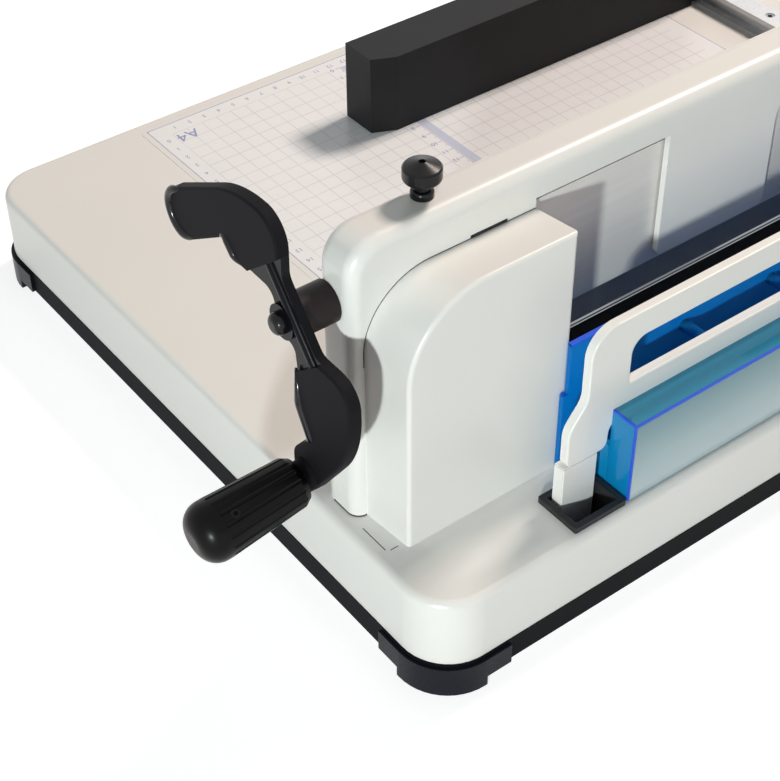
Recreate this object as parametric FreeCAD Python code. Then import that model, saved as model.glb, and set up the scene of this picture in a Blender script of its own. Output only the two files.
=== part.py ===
import FreeCAD, Part
import math
import os
from FreeCAD import Vector

# A hand-operated guillotine for stacks of paper. All sizes are in millimetres.
# The origin is on the floor under the middle of the base: X to the right, Y to the back, Z up.

# Base
base_depth = 403.0
base_corner = 25.0
base_edge_round = 4.0
table_thickness = 4.0
skirt_wall = 3.0
painted_height = 38.0
trim_height = 13.5
trim_thickness = 1.8
trim_proud = 0.4
bottom_thickness = 2.0
foot_height = 5.5
foot_proud = 2.2
foot_reach = 40.0
foot_wrap_height = 11.5
foot_pad_reach = 26.5
foot_pad_width = 18.0
foot_screw_radius = 2.5
foot_screw_inset = 9.9
foot_screw_sink = 1.0
cross_beam_depth = 42.0
cross_beam_height = 28.0
cross_beam_wall = 4.0
cross_beam_inset = 12.0
cross_beam_screw_gap = 0.75
sheet_thickness = 0.3
sheet_width = 336.0
sheet_front_gap = 4.0
sheet_back_margin = 8.0
sheet_corner = 6.0
sheet_front_corner = 2.0

# Portal casting
portal_setback = 69.0
portal_depth = 22.5
portal_inset = 8.0
column_width = 96.0
beam_height = 147.0
lip_height = 15.5
lip_thickness = 3.0
beam_roof = 4.0
rear_wall = 3.0
rear_wall_height = 52.0
portal_corner = 16.0
portal_edge_round = 6.0
channel_margin = 4.0
channel_back_gap = 0.6
channel_roof_gap = 8.5
tab_slot_inset = 15.5
tab_slot_width = 19.5
tab_slot_rise = 0.7
apron_left = -79.0
apron_width = 69.0
apron_drop = 65.5
apron_fillet = 20.0
apron_corner = 3.0
portal_bolt_radius = 4.0
portal_bolt_depth = 22.0
portal_bolt_head = 6.0
portal_bolt_head_radius = 6.4

# Housings over the two ends of the blade carrier
housing_front_gap = 42.0
housing_side_inset = 16.5
housing_flare = 2.3
housing_height = 130.0
housing_rear_drop = 3.5
housing_corner = 40.0
housing_rear_corner = 34.0
housing_edge_round = 2.0
housing_wall = 2.5
lever_housing_wall = 4.0
housing_boss_radius = 6.0
housing_screw_radius = 2.0
housing_screw_height = 12.0
housing_screw_head = 2.5
housing_screw_head_radius = 4.0

# Blade, its carrier and the parallel links that swing it down
lip_gap = 1.0
carrier_thickness = 6.5
carrier_height = 66.0
carrier_left_inset = 33.0
carrier_right_inset = 27.0
carrier_over_edge = 20.0
carrier_corner = 10.0
carrier_foot_corner = 3.0
carrier_shoulder = 12.0
carrier_side_gap = 2.0
carrier_swing_gap = 6.0
blade_thickness = 3.5
blade_height = 36.0
blade_length = 310.0
blade_bevel = 3.0
blade_lift = 41.0
blade_bite = 1.0
blade_bolt_radius = 2.5
blade_bolt_count = 6
blade_bolt_bite = 2.0
link_length = 47.0
link_lift_angle = 45.0
link_spacing = 414.0
link_side_room = 36.5
link_eye = 9.0
link_thickness = 10.0
link_gap = 6.0
link_pin_radius = 5.0
pin_head_height = 2.0
pin_head_radius = 7.0
pin_side_gap = 0.5
lug_root = 12.6
lug_overlap = 36.0
stud_depth = 11.25
open_pin_clearance = 0.15
running_clearance = 0.05
stick_width = 12.0
stick_depth = 6.0
kerf_width = 6.0
kerf_depth = 1.6
seat_clearance = 0.1

# Cutting lever
lever_inset = 25.0
lever_height = 50.0
lever_angle = 62.0
lever_length = 300.0
lever_hub_radius = 20.0
lever_hub_depth = 14.0
lever_hub_gap = 1.0
lever_hub_round = 2.0
lever_shaft_radius = 10.0
lever_bush_wall = 2.5
lever_boss_radius = 19.0
lever_boss_depth = 10.5
lever_inner_hub = 16.0
lever_arm_depth = 12.0
lever_arm_gap = 2.0
lever_bar_width = 26.0
lever_bar_tip = 18.0
lever_bar_thickness = 9.0
lever_bar_round = 1.8
lever_grip_radius = 14.0
lever_grip_length = 112.0
lever_tang_radius = 7.0
lever_bolt_radius = 8.0
lever_bolt_head = 5.0

# Press: crank, shaft, pinions, racks and clamp
press_setback = 15.0
press_height = 115.0
shaft_radius = 4.0
shaft_bush_wall = 2.5
shaft_bush_length = 12.0
shaft_end_cover = 2.0
shaft_room = 1.0
gear_module = 1.25
pinion_teeth = 16
pinion_width = 14.0
pinion_inset = 22.0
pinion_tip_room = 3.0
pinion_side_room = 2.0
gear_backlash = 0.3
pressure_angle = 20.0
tooth_addendum = 0.8
tooth_dedendum = 1.2
rack_depth = 9.0
rack_top_margin = 5.0
guide_height = 14.0
guide_wall = 4.0
guide_below_shaft = 24.0
clamp_gap = 10.3
clamp_drop = 10.0
clamp_rise = 33.0
clamp_height = 30.0
clamp_thickness = 24.0
clamp_blade_gap = 1.5
clamp_side_gap = 2.0
pad_thickness = 2.5
pad_inset = 3.0
clamp_edge_round = 2.0
crank_hub_radius = 9.5
crank_hub_length = 17.0
crank_hub_gap = 0.3
crank_thickness = 6.0
crank_span = 100.0
crank_neck_step = 2.0
crank_neck_front = 21.0
crank_neck_back = 23.5
crank_neck_reach = 60.0
crank_neck_turn = 50.0
crank_rib_sink = 0.3
crank_edge_round = 1.2
crank_bolt_radius = 5.0
crank_bolt_head = 4.5
crank_boss_radius = 8.0
grip_offset_y = -13.0
grip_offset_z = -73.6
grip_tilt = 5.0
grip_radius = 11.8
grip_end_radius = 13.8
grip_length = 52.5
grip_stand_off = 5.0
grip_pin_depth = 33.0
grip_pin_radius = 4.0
grip_pin_seat = 4.8
grip_end_gap = 0.5
grip_flutes = 16
grip_flute_rise = 0.6
grip_shoulder = 40.5
grip_flute_radius = 1.3
grip_boss_radius = 7.5

# Thumbscrews in the beam, which lock the press shaft
thumb_inset = 54.0
thumb_setback = 13.1
thumb_stem_radius = 3.0
thumb_collar_radius = 5.0
thumb_head_radius = 8.3
thumb_neck_radius = 3.5
thumb_height = 16.6
thumb_shaft_gap = 0.5
thumb_foot_gap = 0.3

# Finger guard that plugs into two sockets in the table
guard_left = -182.0
guard_right = 154.0
guard_setback = 19.0
guard_plate = 4.5
guard_top = 94.0
guard_corner = 14.0
guard_edge_round = 0.8
guard_bar_top = 13.7
guard_bar_bottom = 39.0
guard_window_bottom = 56.5
guard_limb_inset = 16.7
guard_foot_inset = 7.0
guard_foot_height = 24.0
guard_foot_corner = 4.0
guard_shoulder_low = 45.0
guard_shoulder_high = 58.0
guard_shoulder_round = 12.0
guard_arch_inset = 9.0
guard_arch_draft = 1.0
guard_arch_corner = 7.0
guard_window_inset = 40.5
guard_window_corner = 8.0
guard_window_foot = 1.0
guard_leg_inset = 6.0
guard_leg_width = 20.0
guard_leg_thickness = 6.5
guard_leg_step = 0.5
guard_leg_depth = 26.0
guard_leg_corner = 2.0
guard_tongue_height = 52.0
guard_tongue_inset = 2.0
guard_tongue_corner = 3.0
socket_front = 4.0
socket_side_gap = 2.0
socket_back_gap = 0.5
socket_wall = 1.6
socket_rim = 3.0
socket_rim_width = 3.0
socket_depth = 32.0
socket_corner = 1.0
cover_setback = 4.5
cover_inset = 32.3
cover_height = 44.5
cover_wall = 2.5
panel_wall = 2.5
panel_height = 73.0
panel_tab_height = 45.0
panel_inset = 20.8
panel_tab_width = 9.0
panel_gap = 1.0
panel_lift = 1.0
panel_corner = 1.0
standoff_radius = 3.0
standoff_height = 50.0
standoff_places = (-75.0, -19.0, 19.0, 75.0)
guard_screw_radius = 1.5

# Back gauge on its rail
gauge_setback = 98.0
gauge_left = -63.0
gauge_depth = 30.0
gauge_height = 48.0
gauge_wall = 4.0
gauge_chamfer_x = 14.0
gauge_chamfer_y = 6.5
gauge_gap = 0.3
gauge_rib_count = 3
rail_inset = 60.0
rail_width = 16.0
rail_height = 12.0
rail_clamp_gap = 10.0
rail_back_margin = 14.0
rail_groove = 3.0
rail_screw_radius = 3.0
rail_screw_inset = 22.0
rail_screw_sink = 0.5
rail_clearance = 0.2
carriage_wall = 6.0
carriage_roof = 8.0
carriage_length = 60.0
carriage_edge_round = 2.0
knob_radius = 13.0
knob_height = 16.0
knob_stem_radius = 4.0
knob_gap = 0.3
knob_lobes = 6
knob_lobe_radius = 4.0

# Places worked out from the sizes above
base_width = link_spacing + 2 * (link_side_room + housing_side_inset)
front_y = -base_depth / 2
side_x = base_width / 2
trim_top = foot_height + trim_height
table_z = trim_top + painted_height
portal_front = front_y + portal_setback
portal_back = portal_front + portal_depth
column_outer = side_x - portal_inset
column_inner = column_outer - column_width
beam_top = table_z + beam_height
lip_bottom = beam_top - lip_height
housing_front = front_y + housing_front_gap
carrier_front = portal_front + lip_thickness + lip_gap
carrier_back = carrier_front + carrier_thickness
blade_front = carrier_back - blade_thickness
blade_edge = table_z + blade_lift
carrier_left = -link_spacing / 2 + carrier_left_inset
carrier_right = link_spacing / 2 - carrier_right_inset
carrier_low = blade_edge + carrier_over_edge
carrier_high = carrier_low + carrier_height
channel_top = carrier_high - carrier_shoulder + channel_roof_gap
lever_x = link_spacing / 2 - lever_inset
lever_z = table_z + lever_height
link_lift = math.radians(link_lift_angle)
link_end = math.asin(math.sin(link_lift) - (blade_lift + blade_bite) / link_length)
swing_shift = link_length * (math.cos(link_end) - math.cos(link_lift))
pin_x = lever_x + link_length * math.cos(link_lift)
pin_z = lever_z + link_length * math.sin(link_lift)
left_pivot_x = lever_x - link_spacing
left_pin_x = pin_x - link_spacing
link_back = carrier_front - link_gap
link_front = link_back - link_thickness
lever_arm_back = link_back - lever_arm_gap
lever_arm_front = lever_arm_back - lever_arm_depth
lever_hub_back = housing_front - lever_hub_gap
lever_hub_front = lever_hub_back - lever_hub_depth
press_y = portal_front + press_setback
press_z = table_z + press_height
thumb_y = portal_front + thumb_setback
pitch_radius = gear_module * pinion_teeth / 2
tooth_height = gear_module * tooth_addendum
tooth_root = gear_module * tooth_dedendum
rack_pitch_y = press_y + pitch_radius
rack_back = rack_pitch_y + rack_depth
pinion_x = column_outer - pinion_inset - pinion_width / 2
clamp_front = carrier_back + clamp_blade_gap
clamp_back = clamp_front + clamp_thickness
pad_bottom = table_z + clamp_gap
clamp_bottom = pad_bottom + pad_thickness
clamp_top = clamp_bottom + clamp_height
arm_inner_x = -column_outer - crank_hub_length
arm_outer_x = arm_inner_x - crank_thickness
grip_y = press_y + grip_offset_y
grip_z = press_z + grip_offset_z
guard_front = front_y + guard_setback
guard_back = guard_front + guard_plate
guard_middle = (guard_left + guard_right) / 2
leg_front = guard_front + guard_leg_step
leg_back = leg_front + guard_leg_thickness
socket_front_y = front_y + socket_front
cover_front = front_y + cover_setback
panel_back = housing_front - panel_gap
panel_front = panel_back - panel_wall
stick_middle = carrier_back - blade_thickness / 2
sheet_front = clamp_back + sheet_front_gap
gauge_bottom = table_z + sheet_thickness + gauge_gap
gauge_front = base_depth / 2 - gauge_setback
rail_x = side_x - rail_inset
rail_front = clamp_back + rail_clamp_gap
rail_back = base_depth / 2 - rail_back_margin
carriage_left = rail_x - rail_width / 2 - rail_clearance - carriage_wall
carriage_right = rail_x + rail_width / 2 + rail_clearance + carriage_wall
carriage_top = table_z + rail_height + rail_clearance + carriage_roof
portal_bolt_places = (pinion_x, column_inner + column_width / 5)


def block(x0, x1, y0, y1, z0, z1):
    return Part.makeBox(x1 - x0, y1 - y0, z1 - z0, Vector(x0, y0, z0))


def rod(radius, start, direction, length):
    return Part.makeCylinder(radius, length, Vector(*start), Vector(*direction))


def on_plane(normal, level, u, v):
    if normal == "x":
        return Vector(level, u, v)
    if normal == "y":
        return Vector(u, level, v)
    return Vector(u, v, level)


def outline(points, normal, level):
    # A closed wire through (u, v, radius) corners: a corner with a radius becomes an arc.
    spots = [on_plane(normal, level, p[0], p[1]) for p in points]
    edges = []
    first = None
    last = None
    for i, spot in enumerate(spots):
        before = (spots[i - 1] - spot).normalize()
        after = (spots[(i + 1) % len(spots)] - spot).normalize()
        radius = points[i][2] if len(points[i]) > 2 else 0
        start = spot
        end = spot
        arc = None
        if radius:
            half = before.getAngle(after) / 2
            reach = radius / math.tan(half)
            start = spot + before * reach
            end = spot + after * reach
            inward = (before + after).normalize()
            middle = spot + inward * (radius / math.sin(half) - radius)
            arc = Part.Arc(start, middle, end).toShape()
        if last is not None and last.distanceToPoint(start) > 1e-6:
            edges.append(Part.makeLine(last, start))
        if arc:
            edges.append(arc)
        if first is None:
            first = start
        last = end
    if last.distanceToPoint(first) > 1e-6:
        edges.append(Part.makeLine(last, first))
    return Part.Wire(edges)


def plate(points, normal, low, high):
    face = Part.Face(outline(points, normal, low))
    return face.extrude(on_plane(normal, high - low, 0, 0))


def base_points(offset):
    # The base seen from above, grown or shrunk by an offset.
    x = side_x + offset
    y = base_depth / 2 + offset
    r = base_corner + offset
    return [(-x, -y, r), (x, -y, r), (x, y, r), (-x, y, r)]


def mirrored(shape):
    return shape.mirror(Vector(0, 0, 0), Vector(1, 0, 0))


def round_edges(shape, radius, wanted):
    edges = [e for e in shape.Edges if wanted(e)]
    return shape.makeFillet(radius, edges)


def turned(profile, place, direction):
    # A solid of revolution from (radius, height, corner) points, its foot at a place.
    face = Part.Face(outline(profile, "y", 0))
    solid = face.revolve(Vector(0, 0, 0), Vector(0, 0, 1), 360)
    turn = FreeCAD.Rotation(Vector(0, 0, 1), Vector(*direction))
    solid.Placement = FreeCAD.Placement(Vector(*place), turn)
    return solid


def leg_edges(side):
    if side < 0:
        low = guard_left + guard_leg_inset
    else:
        low = guard_right - guard_leg_inset - guard_leg_width
    return low, low + guard_leg_width


def socket_room(side, margin):
    # The space for one guard leg, seen from above and grown by a margin.
    low, high = leg_edges(side)
    reach = socket_side_gap + margin
    front = socket_front_y + socket_rim_width - margin
    return low - reach, high + reach, front, leg_back + socket_back_gap + margin


def base_tray():
    tray = plate(base_points(0), "z", trim_top, table_z)
    tray = round_edges(tray, base_edge_round, lambda e: e.BoundBox.ZMin > table_z - 0.1)
    skirt_low = foot_height + bottom_thickness
    tray = tray.fuse(plate(base_points(-trim_thickness), "z", skirt_low, trim_top))
    tray = tray.cut(plate(base_points(-skirt_wall), "z", skirt_low, table_z - table_thickness))
    half = stick_width / 2 + seat_clearance
    slot_x = column_inner + seat_clearance
    tray = tray.cut(block(-slot_x, slot_x, stick_middle - half, stick_middle + half, 0, table_z))
    for side in (-1, 1):
        tray = tray.cut(block(*socket_room(side, socket_wall + seat_clearance), 0, table_z))
    holes = [rod(portal_bolt_radius, p, (0, 0, 1), table_z) for p in portal_bolt_spots()]
    holes += [rod(housing_screw_radius, p, (0, 0, 1), table_z) for p in housing_screw_spots()]
    for hole in holes:
        tray = tray.cut(hole)
    return tray.removeSplitter()


def portal_bolt_spots():
    y = (carrier_back + portal_back) / 2
    return [(side * x, y, 0) for side in (-1, 1) for x in portal_bolt_places]


def housing_screw_spots():
    y = housing_front + lever_housing_wall + housing_boss_radius
    x = (column_inner + column_outer) / 2
    return [(side * x, y, 0) for side in (-1, 1)]


def edge_trim():
    ring = plate(base_points(trim_proud), "z", foot_height, trim_top)
    return ring.cut(plate(base_points(-trim_thickness), "z", foot_height, trim_top))


def bottom_plate():
    sheet = plate(base_points(-trim_thickness - seat_clearance), "z", foot_height,
                  foot_height + bottom_thickness)
    for x, y, z in foot_screw_spots():
        sheet = sheet.cut(rod(foot_screw_radius, (x, y, 0), (0, 0, 1), trim_top))
    return sheet


def foot_screw_spots():
    inset = base_corner * (1 - math.sqrt(0.5)) + foot_screw_inset
    x = side_x - inset
    y = base_depth / 2 - inset
    return [(sx * x, sy * y, 0) for sx in (-1, 1) for sy in (-1, 1)]


def corner_feet():
    # A shoe round each corner: a wrap outside the trim and a pad under it.
    wrap_low = foot_height
    wrap = plate(base_points(foot_proud), "z", 0, wrap_low + foot_wrap_height)
    wrap = wrap.cut(plate(base_points(trim_proud), "z", wrap_low, trim_top))
    wrap = wrap.cut(plate(base_points(-foot_pad_width), "z", 0, trim_top))
    feet = []
    for sx in (-1, 1):
        for sy in (-1, 1):
            foot = wrap.common(corner_block(sx, sy, foot_reach, wrap_low, trim_top))
            pad = wrap.common(corner_block(sx, sy, foot_pad_reach, 0, wrap_low))
            feet.append(foot.fuse(pad).removeSplitter())
    feet = Part.makeCompound(feet)
    for x, y, z in foot_screw_spots():
        feet = feet.cut(rod(foot_screw_radius, (x, y, 0), (0, 0, 1), trim_top))
        feet = feet.cut(rod(2 * foot_screw_radius, (x, y, 0), (0, 0, 1), foot_height / 2))
    return feet


def corner_block(sx, sy, reach, low, high):
    x = side_x + foot_proud
    y = base_depth / 2 + foot_proud
    grip = reach + foot_proud
    xs = sorted((sx * x, sx * (x - grip)))
    ys = sorted((sy * y, sy * (y - grip)))
    return block(xs[0], xs[1], ys[0], ys[1], low, high)


def foot_screws():
    head = foot_height / 2
    tip = foot_height + bottom_thickness
    low = foot_screw_sink
    profile = [(0, low), (2 * foot_screw_radius, low), (2 * foot_screw_radius, head),
               (foot_screw_radius, head), (foot_screw_radius, tip), (0, tip)]
    return Part.makeCompound([turned(profile, p, (0, 0, 1)) for p in foot_screw_spots()])


def cross_beam():
    # A channel under the table that carries the portal and the cutting stick.
    x = side_x - cross_beam_inset
    top = table_z - table_thickness
    y0 = housing_screw_spots()[0][1] + housing_screw_head_radius + cross_beam_screw_gap
    y1 = y0 + cross_beam_depth
    low = top - cross_beam_height
    beam = block(-x, x, y0, y1, low, top)
    wall = cross_beam_wall
    beam = beam.cut(block(-x, x, y0 + wall, y1 - wall, low, top - wall))
    half = stick_width / 2 + seat_clearance
    slot_x = column_inner + seat_clearance
    groove_low = table_z - stick_depth
    beam = beam.cut(block(-slot_x, slot_x, stick_middle - half, stick_middle + half, groove_low, top))
    for p in portal_bolt_spots():
        beam = beam.cut(rod(portal_bolt_radius, p, (0, 0, 1), table_z))
    return beam


def portal_bolts():
    head_low = table_z - table_thickness - cross_beam_wall - portal_bolt_head
    shank = portal_bolt_head + cross_beam_wall + table_thickness + portal_bolt_depth
    head_radius = portal_bolt_head_radius
    bolts = []
    for x, y, z in portal_bolt_spots():
        corners = [(x + head_radius * math.cos(math.radians(60 * k)),
                    y + head_radius * math.sin(math.radians(60 * k))) for k in range(6)]
        head = plate(corners, "z", head_low, head_low + portal_bolt_head)
        bolts.append(head.fuse(rod(portal_bolt_radius, (x, y, head_low), (0, 0, 1), shank)))
    return Part.makeCompound(bolts)


def cutting_stick():
    x = column_inner
    half = stick_width / 2
    low = table_z - stick_depth
    stick = block(-x, x, stick_middle - half, stick_middle + half, low, table_z)
    kerf = kerf_width / 2
    return stick.cut(block(-x, x, stick_middle - kerf, stick_middle + kerf,
                           table_z - kerf_depth, table_z))


def table_sheet():
    x = sheet_width / 2
    back = base_depth / 2 - sheet_back_margin
    corners = [(-x, sheet_front, sheet_front_corner), (x, sheet_front, sheet_front_corner),
               (x, back, sheet_corner), (-x, back, sheet_corner)]
    return plate(corners, "z", table_z, table_z + sheet_thickness)


def portal_frame():
    w = column_outer
    n = column_inner
    outer = [(-w, table_z), (-w, beam_top, portal_corner), (w, beam_top, portal_corner), (w, table_z)]
    frame = plate(outer, "y", portal_front, portal_back)
    frame = round_edges(frame, portal_edge_round, lambda e: e.BoundBox.YLength < 0.01
                        and e.BoundBox.ZMax > table_z + 0.1)
    frame = frame.cut(block(-n, n, portal_front, portal_back, table_z, lip_bottom))
    frame = frame.cut(block(-n, n, portal_front + lip_thickness, portal_back - rear_wall,
                            lip_bottom, beam_top - beam_roof))
    back_low = beam_top - rear_wall_height
    frame = frame.fuse(block(-n, n, portal_back - rear_wall, portal_back, back_low, lip_bottom))
    frame = frame.fuse(apron())
    reach = left_pin_x - link_eye - channel_margin
    channel_back = carrier_back + channel_back_gap
    frame = frame.cut(block(reach, -n, portal_front, channel_back, table_z, channel_top))
    reach = lever_x + link_length + link_eye + channel_margin
    frame = frame.cut(block(n, reach, portal_front, channel_back, table_z, channel_top))
    slot_right = -n - tab_slot_inset
    slot_top = table_z + housing_height - housing_rear_drop + tab_slot_rise
    frame = frame.cut(block(slot_right - tab_slot_width, slot_right, portal_front, channel_back,
                            table_z, slot_top))
    shaft_length = 2 * w - shaft_end_cover
    frame = frame.cut(rod(shaft_radius + shaft_room, (-w, press_y, press_z), (1, 0, 0), shaft_length))
    seat = shaft_radius + shaft_bush_wall
    frame = frame.cut(rod(seat, (-w, press_y, press_z), (1, 0, 0), shaft_bush_length))
    right_seat = w - shaft_end_cover - shaft_bush_length
    frame = frame.cut(rod(seat, (right_seat, press_y, press_z), (1, 0, 0), shaft_bush_length))
    room = pitch_radius + pinion_tip_room
    half = pinion_width / 2 + pinion_side_room
    for side in (-1, 1):
        x = side * pinion_x
        pocket = block(x - half, x + half, press_y - room, portal_back, press_z - room, press_z + room)
        frame = frame.cut(pocket)
        thumb_x = side * (side_x - thumb_inset)
        hole = thumb_stem_radius + running_clearance
        frame = frame.cut(rod(hole, (thumb_x, thumb_y, press_z), (0, 0, 1), beam_height))
    for x, y, z in portal_bolt_spots():
        frame = frame.cut(rod(portal_bolt_radius, (x, y, table_z), (0, 0, 1), portal_bolt_depth))
    frame = frame.cut(rod(link_pin_radius, (left_pivot_x, portal_front, lever_z), (0, 1, 0), stud_depth))
    return frame.removeSplitter()


def apron():
    right = apron_left + apron_width
    low = lip_bottom - apron_drop
    points = [(apron_left, lip_bottom + 1), (apron_left, low, apron_corner), (right, low, apron_corner),
              (right, lip_bottom, apron_fillet), (right + apron_fillet + 1, lip_bottom),
              (right + apron_fillet + 1, lip_bottom + 1)]
    return plate(points, "y", portal_front, portal_front + lip_thickness)


def housing_outline(level, side_shift, height, corner, inset):
    # The left housing's outline; inset shrinks it for the inside.
    outer = -side_x + housing_side_inset - side_shift + inset
    inner = -column_inner - inset
    low = table_z - (1 if inset else 0)
    top = table_z + height - inset
    points = [(outer, low), (outer, top, corner - inset), (inner, top), (inner, low)]
    return outline(points, "y", level)


def housing_shell(wall):
    front = housing_outline(housing_front, 0, housing_height, housing_corner, 0)
    rear_height = housing_height - housing_rear_drop
    rear = housing_outline(portal_front, housing_flare, rear_height, housing_rear_corner, 0)
    shell = Part.makeLoft([front, rear], True, True)
    shell = round_edges(shell, housing_edge_round, lambda e: e.BoundBox.YMax < housing_front + 0.01
                        and e.BoundBox.ZMax > table_z + 0.1)
    front = housing_outline(housing_front + wall, 0, housing_height, housing_corner, wall)
    rear = housing_outline(portal_front, housing_flare, rear_height, housing_rear_corner, wall)
    return shell.cut(Part.makeLoft([front, rear], True, True))


def housing_boss(shell, wall):
    # A screw boss behind the front wall, standing on the table.
    x, y, z = housing_screw_spots()[0]
    high = 2 * housing_screw_height
    boss = rod(housing_boss_radius, (x, y, table_z), (0, 0, 1), high)
    web = block(x - housing_boss_radius / 2, x + housing_boss_radius / 2, housing_front + wall / 2, y,
                table_z, table_z + high)
    shell = shell.fuse(boss).fuse(web)
    hole = rod(housing_screw_radius, (x, y, table_z), (0, 0, 1), housing_screw_height)
    return shell.cut(hole).removeSplitter()


def left_housing():
    return housing_boss(housing_shell(housing_wall), housing_wall)


def lever_housing():
    shell = mirrored(housing_boss(housing_shell(lever_housing_wall), lever_housing_wall))
    boss = rod(lever_boss_radius, (lever_x, housing_front, lever_z), (0, 1, 0), lever_boss_depth)
    shell = shell.fuse(boss)
    bore = lever_shaft_radius + lever_bush_wall
    shell = shell.cut(rod(bore, (lever_x, housing_front, lever_z), (0, 1, 0), lever_boss_depth))
    return shell.removeSplitter()


def housing_screws():
    head_low = table_z - table_thickness - housing_screw_head
    head = housing_screw_head_radius
    tip = table_z + housing_screw_height
    profile = [(0, head_low), (head, head_low), (head, table_z - table_thickness),
               (housing_screw_radius, table_z - table_thickness), (housing_screw_radius, tip), (0, tip)]
    return Part.makeCompound([turned(profile, p, (0, 0, 1)) for p in housing_screw_spots()])


def lever_bush():
    place = (lever_x, housing_front, lever_z)
    bush = rod(lever_shaft_radius + lever_bush_wall, place, (0, 1, 0), lever_boss_depth)
    return bush.cut(rod(lever_shaft_radius + running_clearance, place, (0, 1, 0), lever_boss_depth))


def eye_bar(x0, z0, r0, x1, z1, r1, front, back):
    # A flat bar between two round ends, cut to their common tangents.
    reach = math.hypot(x1 - x0, z1 - z0)
    turn = math.atan2(z1 - z0, x1 - x0)
    lean = math.acos((r0 - r1) / reach)
    corners = []
    for x, z, r, sign in ((x0, z0, r0, 1), (x1, z1, r1, 1), (x1, z1, r1, -1), (x0, z0, r0, -1)):
        angle = turn + sign * lean
        corners.append((x + r * math.cos(angle), z + r * math.sin(angle)))
    bar = plate(corners, "y", front, back)
    bar = bar.fuse(rod(r0, (x0, front, z0), (0, 1, 0), back - front))
    return bar.fuse(rod(r1, (x1, front, z1), (0, 1, 0), back - front)).removeSplitter()


def lever_shaft():
    arm = eye_bar(lever_x, lever_z, lever_inner_hub, pin_x, pin_z, link_eye,
                  lever_arm_front, lever_arm_back)
    hole = link_pin_radius + running_clearance
    arm = arm.cut(rod(hole, (pin_x, lever_arm_front, pin_z), (0, 1, 0), lever_arm_depth))
    length = lever_arm_front - lever_hub_front
    return arm.fuse(rod(lever_shaft_radius, (lever_x, lever_hub_front, lever_z), (0, 1, 0), length))


def along_lever(distance, y):
    angle = math.radians(lever_angle)
    return (lever_x + distance * math.cos(angle), y, lever_z + distance * math.sin(angle))


def lever_direction():
    angle = math.radians(lever_angle)
    return (math.cos(angle), 0, math.sin(angle))


def lever_arm():
    # A tapered bar from the hub to a round tang that carries the grip.
    middle = (lever_hub_front + lever_hub_back) / 2
    front = middle - lever_bar_thickness / 2
    back = middle + lever_bar_thickness / 2
    reach = lever_length - lever_grip_length
    tip = along_lever(reach - lever_bar_tip / 2, middle)
    arm = eye_bar(lever_x, lever_z, lever_bar_width / 2, tip[0], tip[2], lever_bar_tip / 2, front, back)
    arm = round_edges(arm, lever_bar_round, lambda e: e.BoundBox.YLength < 0.01)
    hub = rod(lever_hub_radius, (lever_x, lever_hub_front, lever_z), (0, 1, 0), lever_hub_depth)
    hub = round_edges(hub, lever_hub_round, lambda e: e.BoundBox.YMax < lever_hub_front + 0.1)
    tang = rod(lever_tang_radius, along_lever(reach - lever_bar_tip, middle), lever_direction(),
               lever_grip_length)
    arm = arm.fuse(hub).fuse(tang)
    shaft = rod(lever_shaft_radius, (lever_x, lever_hub_front, lever_z), (0, 1, 0), lever_hub_depth)
    return arm.cut(shaft).removeSplitter()


def lever_grip():
    # Swollen in the palm, drawn in for the little finger and rounded at the end.
    r = lever_grip_radius
    end = lever_grip_length
    bore = lever_tang_radius
    depth = lever_grip_length - lever_bar_tip
    profile = [(bore, 0), (0.8 * r, 0, 0.14 * r), (r, 0.4 * end, 10.7 * r), (0.9 * r, 0.75 * end, 5.7 * r),
               (r, 0.92 * end, 0.85 * r), (0.9 * r, end, 0.5 * r), (0, end), (0, depth), (bore, depth)]
    middle = (lever_hub_front + lever_hub_back) / 2
    return turned(profile, along_lever(lever_length - lever_grip_length, middle), lever_direction())


def lever_bolt():
    r = lever_bolt_radius
    profile = [(0, 0), (r, 0), (r, lever_bolt_head, 0.4 * lever_bolt_head), (0, lever_bolt_head)]
    return turned(profile, (lever_x, lever_hub_front, lever_z), (0, -1, 0))


def blade_carrier():
    # The ends are lower than the middle, so that they pass into the columns.
    end_high = carrier_high - carrier_shoulder
    r = carrier_foot_corner
    left = -column_inner + carrier_side_gap
    right = column_inner - carrier_swing_gap
    corners = [(carrier_left, carrier_low, r), (carrier_left, end_high, carrier_corner),
               (left, end_high, r), (left, carrier_high, r), (right, carrier_high, r), (right, end_high, r),
               (carrier_right, end_high, carrier_corner), (carrier_right, carrier_low, r)]
    body = plate(corners, "y", carrier_front, carrier_back)
    for x, edge in ((left_pin_x, carrier_left), (pin_x, carrier_right)):
        root = edge + math.copysign(lug_overlap, edge - x)
        lug = eye_bar(x, pin_z, link_eye, root, pin_z, lug_root, carrier_front, carrier_back)
        body = body.fuse(lug)
        body = body.cut(rod(link_pin_radius, (x, carrier_front, pin_z), (0, 1, 0), carrier_thickness))
    left, right = blade_ends()
    body = body.cut(block(left - seat_clearance, right + seat_clearance, blade_front, carrier_back,
                          0, blade_edge + blade_height))
    for p in blade_bolt_spots():
        body = body.cut(rod(blade_bolt_radius, p, (0, 1, 0), blade_bolt_bite))
    return body.removeSplitter()


def blade_ends():
    # The blade is centred between the columns when it is down.
    return -swing_shift - blade_length / 2, -swing_shift + blade_length / 2


def blade_bolt_spots():
    left, right = blade_ends()
    step = blade_length / blade_bolt_count
    z = blade_edge + (blade_height + carrier_over_edge) / 2
    return [(left + (k + 0.5) * step, blade_front - blade_bolt_bite, z) for k in range(blade_bolt_count)]


def blade():
    left, right = blade_ends()
    top = blade_edge + blade_height
    section = [(blade_front, blade_edge + blade_bevel), (carrier_back, blade_edge),
               (carrier_back, top), (blade_front, top)]
    knife = plate(section, "x", left, right)
    for p in blade_bolt_spots():
        knife = knife.cut(rod(blade_bolt_radius, p, (0, 1, 0), carrier_thickness))
    return knife


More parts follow.
